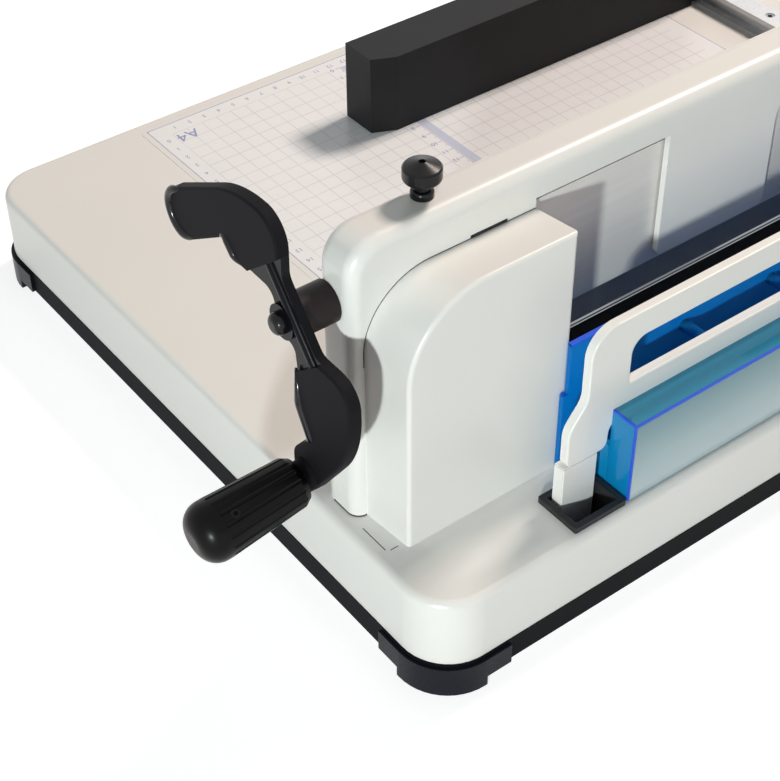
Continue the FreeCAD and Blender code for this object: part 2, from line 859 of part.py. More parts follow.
def blade_bolts():
    # Put in from behind, flush with the back of the blade.
    length = blade_thickness + blade_bolt_bite
    return Part.makeCompound([rod(blade_bolt_radius, p, (0, 1, 0), length) for p in blade_bolt_spots()])


def headed_pin(x, z, head_front, back):
    pin = rod(link_pin_radius, (x, head_front, z), (0, 1, 0), back - head_front)
    return pin.fuse(rod(pin_head_radius, (x, head_front, z), (0, 1, 0), pin_head_height))


def carrier_pins():
    gap = pin_side_gap
    right = headed_pin(pin_x, pin_z, lever_arm_front - gap - pin_head_height, carrier_back)
    left = headed_pin(left_pin_x, pin_z, link_front - gap - pin_head_height, carrier_back)
    return Part.makeCompound([left, right])


def left_link():
    bar = eye_bar(left_pivot_x, lever_z, link_eye, left_pin_x, pin_z, link_eye, link_front, link_back)
    stud_hole = link_pin_radius + running_clearance
    pin_hole = link_pin_radius + open_pin_clearance
    bar = bar.cut(rod(stud_hole, (left_pivot_x, link_front, lever_z), (0, 1, 0), link_thickness))
    return bar.cut(rod(pin_hole, (left_pin_x, link_front, pin_z), (0, 1, 0), link_thickness))


def link_stud():
    gap = pin_side_gap
    front = link_front - gap - pin_head_height
    stud = headed_pin(left_pivot_x, lever_z, front, portal_front + stud_depth)
    collar = portal_front - link_back - gap
    return stud.fuse(rod(link_eye, (left_pivot_x, link_back + gap, lever_z), (0, 1, 0), collar))


def gear_tooth_points(middle):
    # One involute tooth about an angle, as (radius, angle) pairs up one flank and down the other.
    base = pitch_radius * math.cos(math.radians(pressure_angle))
    half = math.pi / (2 * pinion_teeth) - gear_backlash / (4 * pitch_radius)
    roll = math.tan(math.radians(pressure_angle)) - math.radians(pressure_angle)
    flank = []
    for share in (0.0, 0.5, 1.0):
        radius = base + share * (pitch_radius + tooth_height - base)
        alpha = math.acos(min(1.0, base / radius))
        flank.append((radius, half + roll - (math.tan(alpha) - alpha)))
    root = pitch_radius - tooth_root
    left = [(root, middle - flank[0][1])] + [(r, middle - a) for r, a in flank]
    right = [(r, middle + a) for r, a in reversed(flank)] + [(root, middle + flank[0][1])]
    return left + right


def pinion(side):
    # A tooth space faces the rack, so the pair is in mesh.
    x = side * pinion_x - pinion_width / 2
    points = []
    for k in range(pinion_teeth):
        middle = (k + 0.5) * 2 * math.pi / pinion_teeth
        for radius, angle in gear_tooth_points(middle):
            points.append((press_y + radius * math.cos(angle), press_z + radius * math.sin(angle)))
    gear = plate(points, "x", x, x + pinion_width)
    return gear.cut(rod(shaft_radius, (x, press_y, press_z), (1, 0, 0), pinion_width))


def rack(side):
    pitch = math.pi * gear_module
    lean = math.tan(math.radians(pressure_angle))
    tip_y = rack_pitch_y - tooth_height
    root_y = rack_pitch_y + tooth_root
    half = pitch / 4 - gear_backlash / 4
    tip = half - tooth_height * lean
    foot = half + tooth_root * lean
    top = press_z + clamp_drop + rack_top_margin
    points = [(rack_back, clamp_top), (root_y, clamp_top)]
    first = -math.floor((clamp_rise + rack_top_margin) / pitch)
    last = math.floor((clamp_drop + rack_top_margin - foot) / pitch)
    for k in range(first, last + 1):
        z = press_z + k * pitch
        points += [(root_y, z - foot), (tip_y, z - tip), (tip_y, z + tip), (root_y, z + foot)]
    points += [(root_y, top), (rack_back, top)]
    x = side * pinion_x - pinion_width / 2
    return plate(points, "x", x, x + pinion_width)


def rack_guide(side):
    # A bridge on the back of the column that keeps the rack against its pinion.
    x = side * pinion_x
    half = pinion_width / 2 + running_clearance
    high = press_z - guide_below_shaft
    low = high - guide_height
    back = rack_back + running_clearance
    bridge = block(x - half - guide_wall, x + half + guide_wall, portal_back, back + guide_wall, low, high)
    return bridge.cut(block(x - half, x + half, portal_back, back, low, high))


def crank_shaft():
    length = column_outer - shaft_end_cover - arm_outer_x
    return rod(shaft_radius, (arm_outer_x, press_y, press_z), (1, 0, 0), length)


def shaft_bush(side):
    x = -column_outer
    if side > 0:
        x = column_outer - shaft_end_cover - shaft_bush_length
    place = (x, press_y, press_z)
    bush = rod(shaft_radius + shaft_bush_wall, place, (1, 0, 0), shaft_bush_length)
    return bush.cut(rod(shaft_radius + running_clearance, place, (1, 0, 0), shaft_bush_length))


def crank_hub():
    length = crank_hub_length - crank_hub_gap
    hub = rod(crank_hub_radius, (arm_inner_x, press_y, press_z), (1, 0, 0), length)
    return hub.cut(rod(shaft_radius, (arm_inner_x, press_y, press_z), (1, 0, 0), length))


def crank_outline():
    # Both lobes and the waist between them, about the shaft: (back, up, corner radius),
    # in hundredths of the crank's span.
    points = [(0.2, 47, 14), (31, 47.3, 60), (87.5, 16.2, 11), (75.5, -5, 11), (39.5, 18.2, 2),
              (32, 10.8, 5), (7.3, 10, 7), (6, -8.2, 3), (-6, -10, 5), (-8.5, -37, 8), (-15.3, -51, 1.5),
              (-3, -66, 8), (-3, -82, 8), (-15.5, -83, 7), (-45.5, -41, 60), (-44.5, -7, 12),
              (-20.5, -6.5, 6), (0.8, 20, 8)]
    unit = crank_span / 100
    return [tuple(unit * v for v in p) for p in points]


def crank_rib():
    # A rounded ridge along the front of the waist, a little lower than the lobes.
    unit = crank_span / 100
    radius = crank_thickness / 2 - crank_rib_sink
    x = (arm_outer_x + arm_inner_x) / 2
    start = Vector(x, press_y + 10.6 * unit, press_z + 25 * unit)
    end = Vector(x, press_y - 23.3 * unit, press_z - 17.1 * unit)
    return rod(radius, start, end - start, (end - start).Length)


def crank_arm():
    points = [(press_y + p[0], press_z + p[1], p[2]) for p in crank_outline()]
    arm = plate(points, "x", arm_outer_x, arm_inner_x)
    arm = round_edges(arm, crank_edge_round, lambda e: e.BoundBox.XMax < arm_outer_x + 0.01)
    neck = block(arm_outer_x, arm_outer_x + crank_neck_step, -crank_neck_front, crank_neck_back,
                 -crank_neck_reach, crank_neck_reach)
    turn = FreeCAD.Rotation(Vector(1, 0, 0), crank_neck_turn)
    neck.Placement = FreeCAD.Placement(Vector(0, press_y, press_z), turn)
    arm = arm.cut(neck).fuse(crank_rib())
    middle = (arm_outer_x, press_y, press_z)
    arm = arm.fuse(rod(crank_boss_radius, middle, (1, 0, 0), crank_thickness))
    half = crank_thickness / 2
    boss_length = half + grip_stand_off - grip_end_gap
    arm = arm.fuse(rod(grip_boss_radius, grip_place(-half), grip_axis(), boss_length))
    arm = arm.cut(grip_pin())
    return arm.cut(rod(shaft_radius, middle, (1, 0, 0), crank_thickness)).removeSplitter()


def grip_axis():
    tilt = math.radians(grip_tilt)
    return (-math.cos(tilt), 0, -math.sin(tilt))


def grip_place(distance):
    # A point on the grip's axis, measured outward from the arm's outer face.
    axis = grip_axis()
    return (arm_outer_x + distance * axis[0], grip_y, grip_z + distance * axis[2])


def crank_bolt():
    r = crank_bolt_radius
    profile = [(0, 0), (r, 0), (r, crank_bolt_head, 0.7 * crank_bolt_head), (0, crank_bolt_head)]
    return turned(profile, (arm_outer_x, press_y, press_z), (-1, 0, 0))


def grip_pin():
    # Pressed into the arm, it reaches part of the way into the grip.
    length = grip_pin_seat + grip_stand_off + grip_pin_depth
    return rod(grip_pin_radius, grip_place(-grip_pin_seat), grip_axis(), length)


def crank_grip():
    # A tapered handle with a domed end and flutes along its inner part.
    r = grip_radius
    end = grip_end_radius
    bore = grip_pin_radius + running_clearance
    depth = grip_pin_depth + grip_end_gap
    profile = [(bore, 0), (0.85 * r, 0), (r, 0.06 * grip_length), (end, grip_shoulder),
               (end, grip_length, 0.7 * end), (0, grip_length), (0, depth), (bore, depth)]
    grip = turned(profile, grip_place(grip_stand_off), grip_axis())
    axis = Vector(*grip_axis())
    across = Vector(0, 1, 0)
    upward = axis.cross(across)
    way = grip_shoulder + grip_flute_radius
    for k in range(grip_flutes):
        angle = 2 * math.pi * k / grip_flutes
        radial = across * math.cos(angle) + upward * math.sin(angle)
        start = Vector(*grip_place(grip_stand_off - grip_flute_radius)) + radial * (r + grip_flute_rise)
        grip = grip.cut(rod(grip_flute_radius, start, axis * way + radial * (end - r), way))
    return grip


def clamp_bar():
    inner = column_inner - clamp_side_gap
    bar = block(-inner, inner, clamp_front, clamp_back, clamp_bottom, clamp_top)
    bar = round_edges(bar, clamp_edge_round, lambda e: e.BoundBox.YMax < clamp_front + 0.1
                      and e.BoundBox.ZMin > clamp_top - 0.1)
    reach = pinion_x + pinion_width / 2
    arm_front = portal_back + clamp_side_gap
    bar = bar.fuse(block(-reach, reach, arm_front, max(clamp_back, rack_back), clamp_bottom, clamp_top))
    return bar.removeSplitter()


def clamp_pad():
    inner = column_inner - clamp_side_gap - pad_inset
    return block(-inner, inner, clamp_front + pad_inset, clamp_back - pad_inset, pad_bottom, clamp_bottom)


def thumbscrew(side):
    stem = beam_top - press_z - shaft_radius - thumb_shaft_gap
    r = thumb_stem_radius
    c = thumb_collar_radius
    n = thumb_neck_radius
    h = thumb_head_radius
    t = thumb_height
    top = stem + t
    foot = stem + thumb_foot_gap
    profile = [(0, 0), (r, 0), (r, foot), (c, foot), (c, stem + 0.2 * t, 0.3 * c), (n, stem + 0.24 * t),
               (n, stem + 0.44 * t), (h, stem + 0.48 * t, 0.25 * h), (h, stem + 0.83 * t),
               (0.92 * h, stem + 0.88 * t), (0.18 * h, top), (0.18 * h, top - 0.06 * t), (0, top - 0.06 * t)]
    x = side * (side_x - thumb_inset)
    return turned(profile, (x, thumb_y, beam_top - stem), (0, 0, 1))


def guard_points():
    # Left half of the guard plate's outline, mirrored about its middle.
    arch = guard_left + guard_window_inset - guard_arch_inset
    foot = guard_left + guard_foot_inset
    limb = guard_left + guard_limb_inset
    left = [(arch, table_z + guard_bar_bottom, guard_arch_corner),
            (arch - guard_arch_draft, table_z + guard_foot_height, guard_foot_corner),
            (foot, table_z + guard_foot_height, guard_foot_corner),
            (foot, table_z + guard_shoulder_low, guard_shoulder_round),
            (limb, table_z + guard_shoulder_high, guard_shoulder_round),
            (limb, table_z + guard_top, guard_corner)]
    right = [(2 * guard_middle - p[0],) + tuple(p[1:]) for p in reversed(left)]
    return left + right


def guard_frame():
    frame = plate(guard_points(), "y", guard_front, guard_back)
    low = guard_left + guard_window_inset
    high = guard_right - guard_window_inset
    bottom = table_z + guard_window_bottom
    top = table_z + guard_top - guard_bar_top
    foot = guard_window_foot
    corner = guard_window_corner
    window = [(low, bottom, foot), (low, top, corner), (high, top, corner), (high, bottom, foot)]
    frame = frame.cut(plate(window, "y", guard_front, guard_back))
    return round_edges(frame, guard_edge_round, lambda e: e.BoundBox.YMax < guard_front + 0.01)


def guard_leg(side):
    # The leg butts against the plate's foot and has a tongue behind it.
    low, high = leg_edges(side)
    tip = table_z - guard_leg_depth
    shoulder = table_z + guard_foot_height
    top = table_z + guard_tongue_height
    r = guard_leg_corner
    shank = [(low, tip, r), (low, shoulder), (high, shoulder), (high, tip, r)]
    leg = plate(shank, "y", leg_front, leg_back)
    low += guard_tongue_inset
    high -= guard_tongue_inset
    r = guard_tongue_corner
    tongue = [(low, shoulder - r), (low, top, r), (high, top, r), (high, shoulder - r)]
    return leg.fuse(plate(tongue, "y", guard_back, leg_back)).removeSplitter()


def guard_socket(side):
    # A moulded liner with a raised rim, let into the table.
    x0, x1, y0, y1 = socket_room(side, socket_rim_width)
    r = socket_corner
    rim = plate([(x0, y0, r), (x1, y0, r), (x1, y1, r), (x0, y1, r)], "z", table_z, table_z + socket_rim)
    floor = table_z - socket_depth
    liner = rim.fuse(block(*socket_room(side, socket_wall), floor, table_z))
    room = block(*socket_room(side, 0), floor + socket_wall, table_z + socket_rim)
    return liner.cut(room).removeSplitter()


def front_cover():
    # A folded acrylic hood, open at the back and below, fixed to the front of the plate.
    low = guard_left + cover_inset
    high = guard_right - cover_inset
    bottom = table_z + panel_lift
    top = bottom + cover_height
    hood = block(low, high, cover_front, guard_front, bottom, top)
    wall = cover_wall
    return hood.cut(block(low + wall, high - wall, cover_front + wall, guard_front, bottom, top - wall))


def rear_panel():
    low = guard_left + panel_inset
    high = guard_right - panel_inset
    bottom = table_z + panel_lift
    tab_top = table_z + panel_tab_height
    top = table_z + panel_height
    tab_low = low + panel_tab_width
    tab_high = high - panel_tab_width
    r = panel_corner
    points = [(low, bottom), (low, tab_top, r), (tab_low, tab_top), (tab_low, top, r),
              (tab_high, top, r), (tab_high, tab_top), (high, tab_top, r), (high, bottom)]
    panel = plate(points, "y", panel_front, panel_back)
    for x, z in standoff_spots():
        panel = panel.cut(rod(guard_screw_radius, (x, panel_front, z), (0, 1, 0), panel_wall))
    return panel


def standoff_spots():
    return [(guard_middle + x, table_z + standoff_height) for x in standoff_places]


def guard_standoffs():
    posts = [rod(standoff_radius, (x, guard_back, z), (0, 1, 0), panel_front - guard_back)
             for x, z in standoff_spots()]
    return Part.makeCompound(posts)


def guard_screws():
    # Flush with the back of the panel.
    return Part.makeCompound([rod(guard_screw_radius, (x, panel_front, z), (0, 1, 0), panel_wall)
                              for x, z in standoff_spots()])


def gauge_rail():
    x0 = rail_x - rail_width / 2
    x1 = rail_x + rail_width / 2
    g = rail_groove
    low = table_z
    top = table_z + rail_height
    section = [(x0, low), (x1, low), (x1, low + g), (x1 - g, low + g), (x1 - g, top - g), (x1, top - g),
               (x1, top), (x0, top), (x0, top - g), (x0 + g, top - g), (x0 + g, low + g), (x0, low + g)]
    rail = plate(section, "y", rail_front, rail_back)
    for x, y, z in rail_screw_spots():
        rail = rail.cut(rod(rail_screw_radius, (x, y, top - g), (0, 0, 1), g))
    return rail


def rail_screw_spots():
    middle = (rail_front + rail_back) / 2
    places = (rail_front + rail_screw_inset, middle, rail_back - rail_screw_inset)
    return [(rail_x, y, table_z) for y in places]


def rail_screws():
    top = table_z + rail_height
    heads = [rod(rail_screw_radius, (x, y, top - rail_groove), (0, 0, 1), rail_groove - rail_screw_sink)
             for x, y, z in rail_screw_spots()]
    return Part.makeCompound(heads)


def gauge_carriage():
    front = gauge_front
    back = front + carriage_length
    c = rail_clearance
    g = rail_groove
    inner0 = rail_x - rail_width / 2 - c
    inner1 = rail_x + rail_width / 2 + c
    low = table_z + g + c
    top = table_z + rail_height + c
    lip_top = table_z + rail_height - g - c
    body = block(carriage_left, carriage_right, front, back, low, carriage_top)
    body = round_edges(body, carriage_edge_round, lambda e: e.BoundBox.ZMin > carriage_top - 0.1)
    body = body.cut(block(inner0, inner1, front, back, lip_top, top))
    body = body.cut(block(inner0 + g, inner1 - g, front, back, low, lip_top))
    x, y, z = knob_place()
    return body.cut(rod(knob_stem_radius + running_clearance, (x, y, top), (0, 0, 1), carriage_roof))


def knob_place():
    return rail_x, gauge_front + carriage_length / 2, carriage_top


def gauge_bar():
    # A hollow bar, open at the back, with its free corner cut away.
    back = gauge_front + gauge_depth
    top = gauge_bottom + gauge_height
    right = carriage_left
    points = [(gauge_left, gauge_front + gauge_chamfer_y), (gauge_left + gauge_chamfer_x, gauge_front),
              (right, gauge_front), (right, back), (gauge_left, back)]
    bar = plate(points, "z", gauge_bottom, top)
    wall = gauge_wall
    bay = (right - gauge_left - gauge_chamfer_x - wall) / (gauge_rib_count + 1)
    for k in range(gauge_rib_count + 1):
        start = gauge_left + gauge_chamfer_x + k * bay
        hollow = block(start, start + bay - wall, gauge_front + wall, back, gauge_bottom + wall, top - wall)
        bar = bar.cut(hollow)
    return bar


def gauge_knob():
    x, y, z = knob_place()
    r = knob_radius
    h = knob_height
    stem = carriage_roof + knob_gap
    profile = [(0, 0), (knob_stem_radius, 0), (knob_stem_radius, stem), (0.6 * r, stem),
               (0.6 * r, stem + 0.25 * h), (r, stem + 0.32 * h),
               (r, stem + h, 0.23 * r), (0, stem + h)]
    knob = turned(profile, (x, y, z - carriage_roof), (0, 0, 1))
    for k in range(knob_lobes):
        angle = 2 * math.pi * (k + 0.5) / knob_lobes
        place = (x + 1.12 * r * math.cos(angle), y + 1.12 * r * math.sin(angle), z + knob_gap)
        knob = knob.cut(rod(knob_lobe_radius, place, (0, 0, 1), knob_height + 1))
    return knob


nodes = {
    "base_tray": base_tray(),
    "edge_trim": edge_trim(),
    "bottom_plate": bottom_plate(),
    "corner_feet": corner_feet(),
    "foot_screws": foot_screws(),
    "cross_beam": cross_beam(),
    "portal_bolts": portal_bolts(),
    "cutting_stick": cutting_stick(),
    "table_sheet": table_sheet(),
    "portal_frame": portal_frame(),
    "left_housing": left_housing(),
    "lever_housing": lever_housing(),
    "housing_screws": housing_screws(),
    "lever_bush": lever_bush(),
    "lever_shaft": lever_shaft(),
    "lever_arm": lever_arm(),
    "lever_grip": lever_grip(),
    "lever_bolt": lever_bolt(),
    "blade_carrier": blade_carrier(),
    "blade": blade(),
    "blade_bolts": blade_bolts(),
    "carrier_pins": carrier_pins(),
    "left_link": left_link(),
    "link_stud": link_stud(),
    "crank_shaft": crank_shaft(),
    "crank_hub": crank_hub(),
    "crank_arm": crank_arm(),
    "crank_bolt": crank_bolt(),
    "grip_pin": grip_pin(),
    "crank_grip": crank_grip(),
    "clamp_bar": clamp_bar(),
    "clamp_pad": clamp_pad(),
    "guard_frame": guard_frame(),
    "front_cover": front_cover(),
    "rear_panel": rear_panel(),
    "guard_standoffs": guard_standoffs(),
    "guard_screws": guard_screws(),
    "gauge_rail": gauge_rail(),
    "rail_screws": rail_screws(),
    "gauge_carriage": gauge_carriage(),
    "gauge_bar": gauge_bar(),
    "gauge_knob": gauge_knob(),
}
for name, side in (("left", -1), ("right", 1)):
    nodes[name + "_pinion"] = pinion(side)
    nodes[name + "_rack"] = rack(side)
    nodes[name + "_rack_guide"] = rack_guide(side)
    nodes[name + "_shaft_bush"] = shaft_bush(side)
    nodes[name + "_thumbscrew"] = thumbscrew(side)
    nodes[name + "_guard_leg"] = guard_leg(side)
    nodes[name + "_guard_socket"] = guard_socket(side)

os.makedirs("parts", exist_ok=True)
for name, shape in nodes.items():
    shape.exportStep("parts/" + name + ".step")
print(len(nodes), "nodes written")
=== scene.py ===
import math
import bmesh
import bpy
from mathutils import Matrix, Vector


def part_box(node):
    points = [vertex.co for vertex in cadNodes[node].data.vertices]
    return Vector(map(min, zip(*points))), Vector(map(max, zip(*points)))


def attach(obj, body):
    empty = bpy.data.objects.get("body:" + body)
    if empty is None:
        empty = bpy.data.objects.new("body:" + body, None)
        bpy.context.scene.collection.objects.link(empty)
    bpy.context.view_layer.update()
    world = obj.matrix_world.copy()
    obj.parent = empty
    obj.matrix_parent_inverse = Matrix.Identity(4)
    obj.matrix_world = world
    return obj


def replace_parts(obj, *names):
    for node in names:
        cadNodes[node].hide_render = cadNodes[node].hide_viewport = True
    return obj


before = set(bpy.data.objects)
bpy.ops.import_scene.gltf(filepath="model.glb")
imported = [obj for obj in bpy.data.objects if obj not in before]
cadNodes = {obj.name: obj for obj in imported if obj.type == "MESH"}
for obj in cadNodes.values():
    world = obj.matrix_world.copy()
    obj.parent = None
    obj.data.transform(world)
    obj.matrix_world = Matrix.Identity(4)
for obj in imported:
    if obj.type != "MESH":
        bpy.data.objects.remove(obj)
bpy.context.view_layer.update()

mm = 0.001
scene = bpy.context.scene
print("frame loaded,", len(cadNodes), "nodes")


# small helpers
def srgb(hexText):
    # sRGB hex to linear, with alpha
    out = []
    for i in (0, 2, 4):
        c = int(hexText[i:i + 2], 16) / 255
        out.append(c / 12.92 if c <= 0.04045 else ((c + 0.055) / 1.055) ** 2.4)
    return (out[0], out[1], out[2], 1.0)


def perSize(sizeMm):
    # texture scale for a feature of this size, object coordinates being metres
    return 1000.0 / sizeMm


def addNode(tree, kind, links=None, values=None, **settings):
    node = tree.nodes.new(kind)
    for key, value in settings.items():
        setattr(node, key, value)
    for key, value in (values or {}).items():
        node.inputs[key].default_value = value
    for key, source in (links or {}).items():
        tree.links.new(source, node.inputs[key])
    return node


def newMaterial(name):
    material = bpy.data.materials.new(name)
    material.use_nodes = True
    tree = material.node_tree
    shader = tree.nodes["Principled BSDF"]
    place = addNode(tree, "ShaderNodeTexCoord").outputs["Object"]
    return material, tree, shader, place


def dress(material, *names):
    for name in names:
        node = cadNodes[name]
        node.data.materials.clear()
        node.data.materials.append(material)


def addPiece(name, mesh, material, body):
    piece = bpy.data.objects.new(name, mesh)
    scene.collection.objects.link(piece)
    mesh.materials.clear()
    mesh.materials.append(material)
    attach(piece, body)
    return piece


def meshFrom(name, bm, smooth=False):
    bmesh.ops.recalc_face_normals(bm, faces=bm.faces)
    mesh = bpy.data.meshes.new(name)
    bm.to_mesh(mesh)
    bm.free()
    for face in mesh.polygons:
        face.use_smooth = smooth
    return mesh


def boxMm(name):
    low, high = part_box(name)
    return [v / mm for v in low], [v / mm for v in high]


def addPrism(bm, first, second):
    # closed solid between two like outlines, in mm
    ends = [[bm.verts.new([v * mm for v in point]) for point in ring] for ring in (first, second)]
    for ring in ends:
        bm.faces.new(ring)
    for i in range(len(first)):
        j = (i + 1) % len(first)
        bm.faces.new((ends[0][i], ends[0][j], ends[1][j], ends[1][i]))


def addBox(bm, low, high):
    corners = ((low[0], low[1]), (high[0], low[1]), (high[0], high[1]), (low[0], high[1]))
    addPrism(bm, [(x, y, low[2]) for x, y in corners], [(x, y, high[2]) for x, y in corners])


def addSheet(bm, outline, front, back):
    # a flat plate standing across the machine, its outline given as x and z
    addPrism(bm, [(x, front, z) for x, z in outline], [(x, back, z) for x, z in outline])


def addRound(bm, place, axis, radius, depth, sides):
    spin = Vector(axis).to_track_quat("Z", "Y").to_matrix().to_4x4()
    bmesh.ops.create_cone(bm, cap_ends=True, segments=sides, radius1=radius * mm, radius2=radius * mm,
                          depth=depth * mm, matrix=Matrix.Translation(Vector(place) * mm) @ spin)


# camera at the photograph's viewing angle
cameraSpec = {"place": (-0.5544, -0.5625, 0.6026), "azimuth": -36.801, "elevation": 41.742, "roll": -0.519,
              "lens": 79.03, "sensor": 36, "near": 0.01}
azimuth = math.radians(cameraSpec["azimuth"])
elevation = math.radians(cameraSpec["elevation"])
roll = math.radians(cameraSpec["roll"])
back = Vector((math.sin(azimuth) * math.cos(elevation), -math.cos(azimuth) * math.cos(elevation),
               math.sin(elevation)))
right = Vector((math.cos(azimuth), math.sin(azimuth), 0))
up = right.cross(-back)
camX = math.cos(roll) * right + math.sin(roll) * up
camY = -math.sin(roll) * right + math.cos(roll) * up
camera = bpy.data.objects.new("camera", bpy.data.cameras.new("camera"))
scene.collection.objects.link(camera)
turn = Matrix((camX, camY, back)).transposed()
camera.matrix_world = Matrix.Translation(cameraSpec["place"]) @ turn.to_4x4()
camera.data.lens = cameraSpec["lens"]
camera.data.sensor_width = cameraSpec["sensor"]
camera.data.clip_start = cameraSpec["near"]
camera.data.dof.use_dof = False
scene.camera = camera
print("camera set")


# powder coated, stoved or dipped paint: flowed and baked, so a soft gloss with a fine orange peel,
# and a slow drift of tone over some 70 mm
def coatedSteel(name, first, second, low, high, shine=0.5):
    material, tree, shader, place = newMaterial(name)
    cloud = addNode(tree, "ShaderNodeTexNoise", {"Vector": place}, {"Scale": perSize(70), "Detail": 3})
    tint = addNode(tree, "ShaderNodeMix", {"Factor": cloud.outputs["Fac"]},
                   {"A": srgb(first), "B": srgb(second)}, data_type="RGBA")
    peel = addNode(tree, "ShaderNodeTexNoise", {"Vector": place}, {"Scale": perSize(1.6), "Detail": 2})
    bump = addNode(tree, "ShaderNodeBump", {"Height": peel.outputs["Fac"]},
                   {"Strength": 0.12, "Distance": 0.02 * mm})
    gloss = addNode(tree, "ShaderNodeMapRange", {"Value": cloud.outputs["Fac"]},
                    {"To Min": low, "To Max": high})
    shader.inputs["Specular IOR Level"].default_value = shine
    tree.links.new(tint.outputs["Result"], shader.inputs["Base Color"])
    tree.links.new(bump.outputs["Normal"], shader.inputs["Normal"])
    tree.links.new(gloss.outputs["Result"], shader.inputs["Roughness"])
    return material


# the table print, in the part's own millimetres; cellShift keeps the count of cells positive and
# puts the line in the middle of a count
printSpec = {"frameLeft": -164.6, "frameRight": 164.6, "frameFront": -89.0, "frameBack": 190.1,
             "filmFront": -139.0, "gridLeft": -154.0, "gridRight": 154.6, "gridBack": 179.5, "hair": 0.1,
             "cell": 10.0, "cellShift": 50.5, "lineWidth": 0.5, "rulerLeft": -34.0, "rulerRight": -29.0,
             "wearMm": 25, "inkWeak": 0.2, "inkStrong": 0.5, "paper": ("f3f4f7", "eeeff1"),
             "margin": "e9e8e5", "gridInk": "9d98ac"}


# calendered PVC film: printed lines under a smooth clear face
def printedFilm():
    material, tree, shader, place = newMaterial("printedPvcFilm")
    p = printSpec
    axes = addNode(tree, "ShaderNodeSeparateXYZ", {"Vector": place})
    masks = []
    for axis, origin in (("X", p["gridLeft"]), ("Y", p["gridBack"])):
        cells = addNode(tree, "ShaderNodeMath", {0: axes.outputs[axis]},
                        {1: 1000 / p["cell"], 2: -origin / p["cell"] + p["cellShift"]},
                        operation="MULTIPLY_ADD")
        part = addNode(tree, "ShaderNodeMath", {0: cells.outputs[0]}, operation="FRACT")
        off = addNode(tree, "ShaderNodeMath", {0: part.outputs[0]}, {1: 0.5}, operation="SUBTRACT")
        near = addNode(tree, "ShaderNodeMath", {0: off.outputs[0]}, operation="ABSOLUTE")
        masks.append(addNode(tree, "ShaderNodeMath", {0: near.outputs[0]},
                             {1: p["lineWidth"] / p["cell"] / 2}, operation="LESS_THAN"))
    lines = addNode(tree, "ShaderNodeMath", {0: masks[0].outputs[0], 1: masks[1].outputs[0]},
                    operation="MAXIMUM")
    gridArea = (p["gridLeft"] - p["hair"], p["gridRight"], p["frameFront"], p["gridBack"] + p["hair"])
    frameArea = (p["frameLeft"], p["frameRight"], p["filmFront"], p["frameBack"])
    areas = []
    for left, right, front, back in (gridArea, frameArea):
        inside = None
        for axis, low, high in (("X", left, right), ("Y", front, back)):
            over = addNode(tree, "ShaderNodeMath", {0: axes.outputs[axis]}, {1: low * mm},
                           operation="GREATER_THAN")
            under = addNode(tree, "ShaderNodeMath", {0: axes.outputs[axis]}, {1: high * mm},
                            operation="LESS_THAN")
            both = addNode(tree, "ShaderNodeMath", {0: over.outputs[0], 1: under.outputs[0]},
                           operation="MULTIPLY")
            inside = both if inside is None else addNode(
                tree, "ShaderNodeMath", {0: inside.outputs[0], 1: both.outputs[0]}, operation="MULTIPLY")
        areas.append(inside)
    grid = addNode(tree, "ShaderNodeMath", {0: lines.outputs[0], 1: areas[0].outputs[0]},
                   operation="MULTIPLY")
    wear = addNode(tree, "ShaderNodeTexNoise", {"Vector": place},
                   {"Scale": perSize(p["wearMm"]), "Detail": 4})
    ink = addNode(tree, "ShaderNodeMapRange", {"Value": wear.outputs["Fac"]},
                  {"To Min": p["inkWeak"], "To Max": p["inkStrong"]})
    amount = addNode(tree, "ShaderNodeMath", {0: grid.outputs[0], 1: ink.outputs["Result"]},
                     operation="MULTIPLY")
    white = addNode(tree, "ShaderNodeMix", {"Factor": wear.outputs["Fac"]},
                    {"A": srgb(p["paper"][0]), "B": srgb(p["paper"][1])}, data_type="RGBA")
    ground = addNode(tree, "ShaderNodeMix", {"Factor": areas[1].outputs[0], "B": white.outputs["Result"]},
                     {"A": srgb(p["margin"])}, data_type="RGBA")
    colour = addNode(tree, "ShaderNodeMix", {"Factor": amount.outputs[0], "A": ground.outputs["Result"]},
                     {"B": srgb(p["gridInk"])}, data_type="RGBA")
    tree.links.new(colour.outputs["Result"], shader.inputs["Base Color"])
    gloss = addNode(tree, "ShaderNodeMapRange", {"Value": wear.outputs["Fac"]},
                    {"To Min": 0.24, "To Max": 0.34})
    tree.links.new(gloss.outputs["Result"], shader.inputs["Roughness"])
    return material


# screen ink on the film: thin and matt, a little uneven
def screenInk(name, first, second):
    material, tree, shader, place = newMaterial(name)
    cloud = addNode(tree, "ShaderNodeTexNoise", {"Vector": place}, {"Scale": perSize(3), "Detail": 3})
    tint = addNode(tree, "ShaderNodeMix", {"Factor": cloud.outputs["Fac"]},
                   {"A": srgb(first), "B": srgb(second)}, data_type="RGBA")
    tree.links.new(tint.outputs["Result"], shader.inputs["Base Color"])
    shader.inputs["Roughness"].default_value = 0.45
    return material


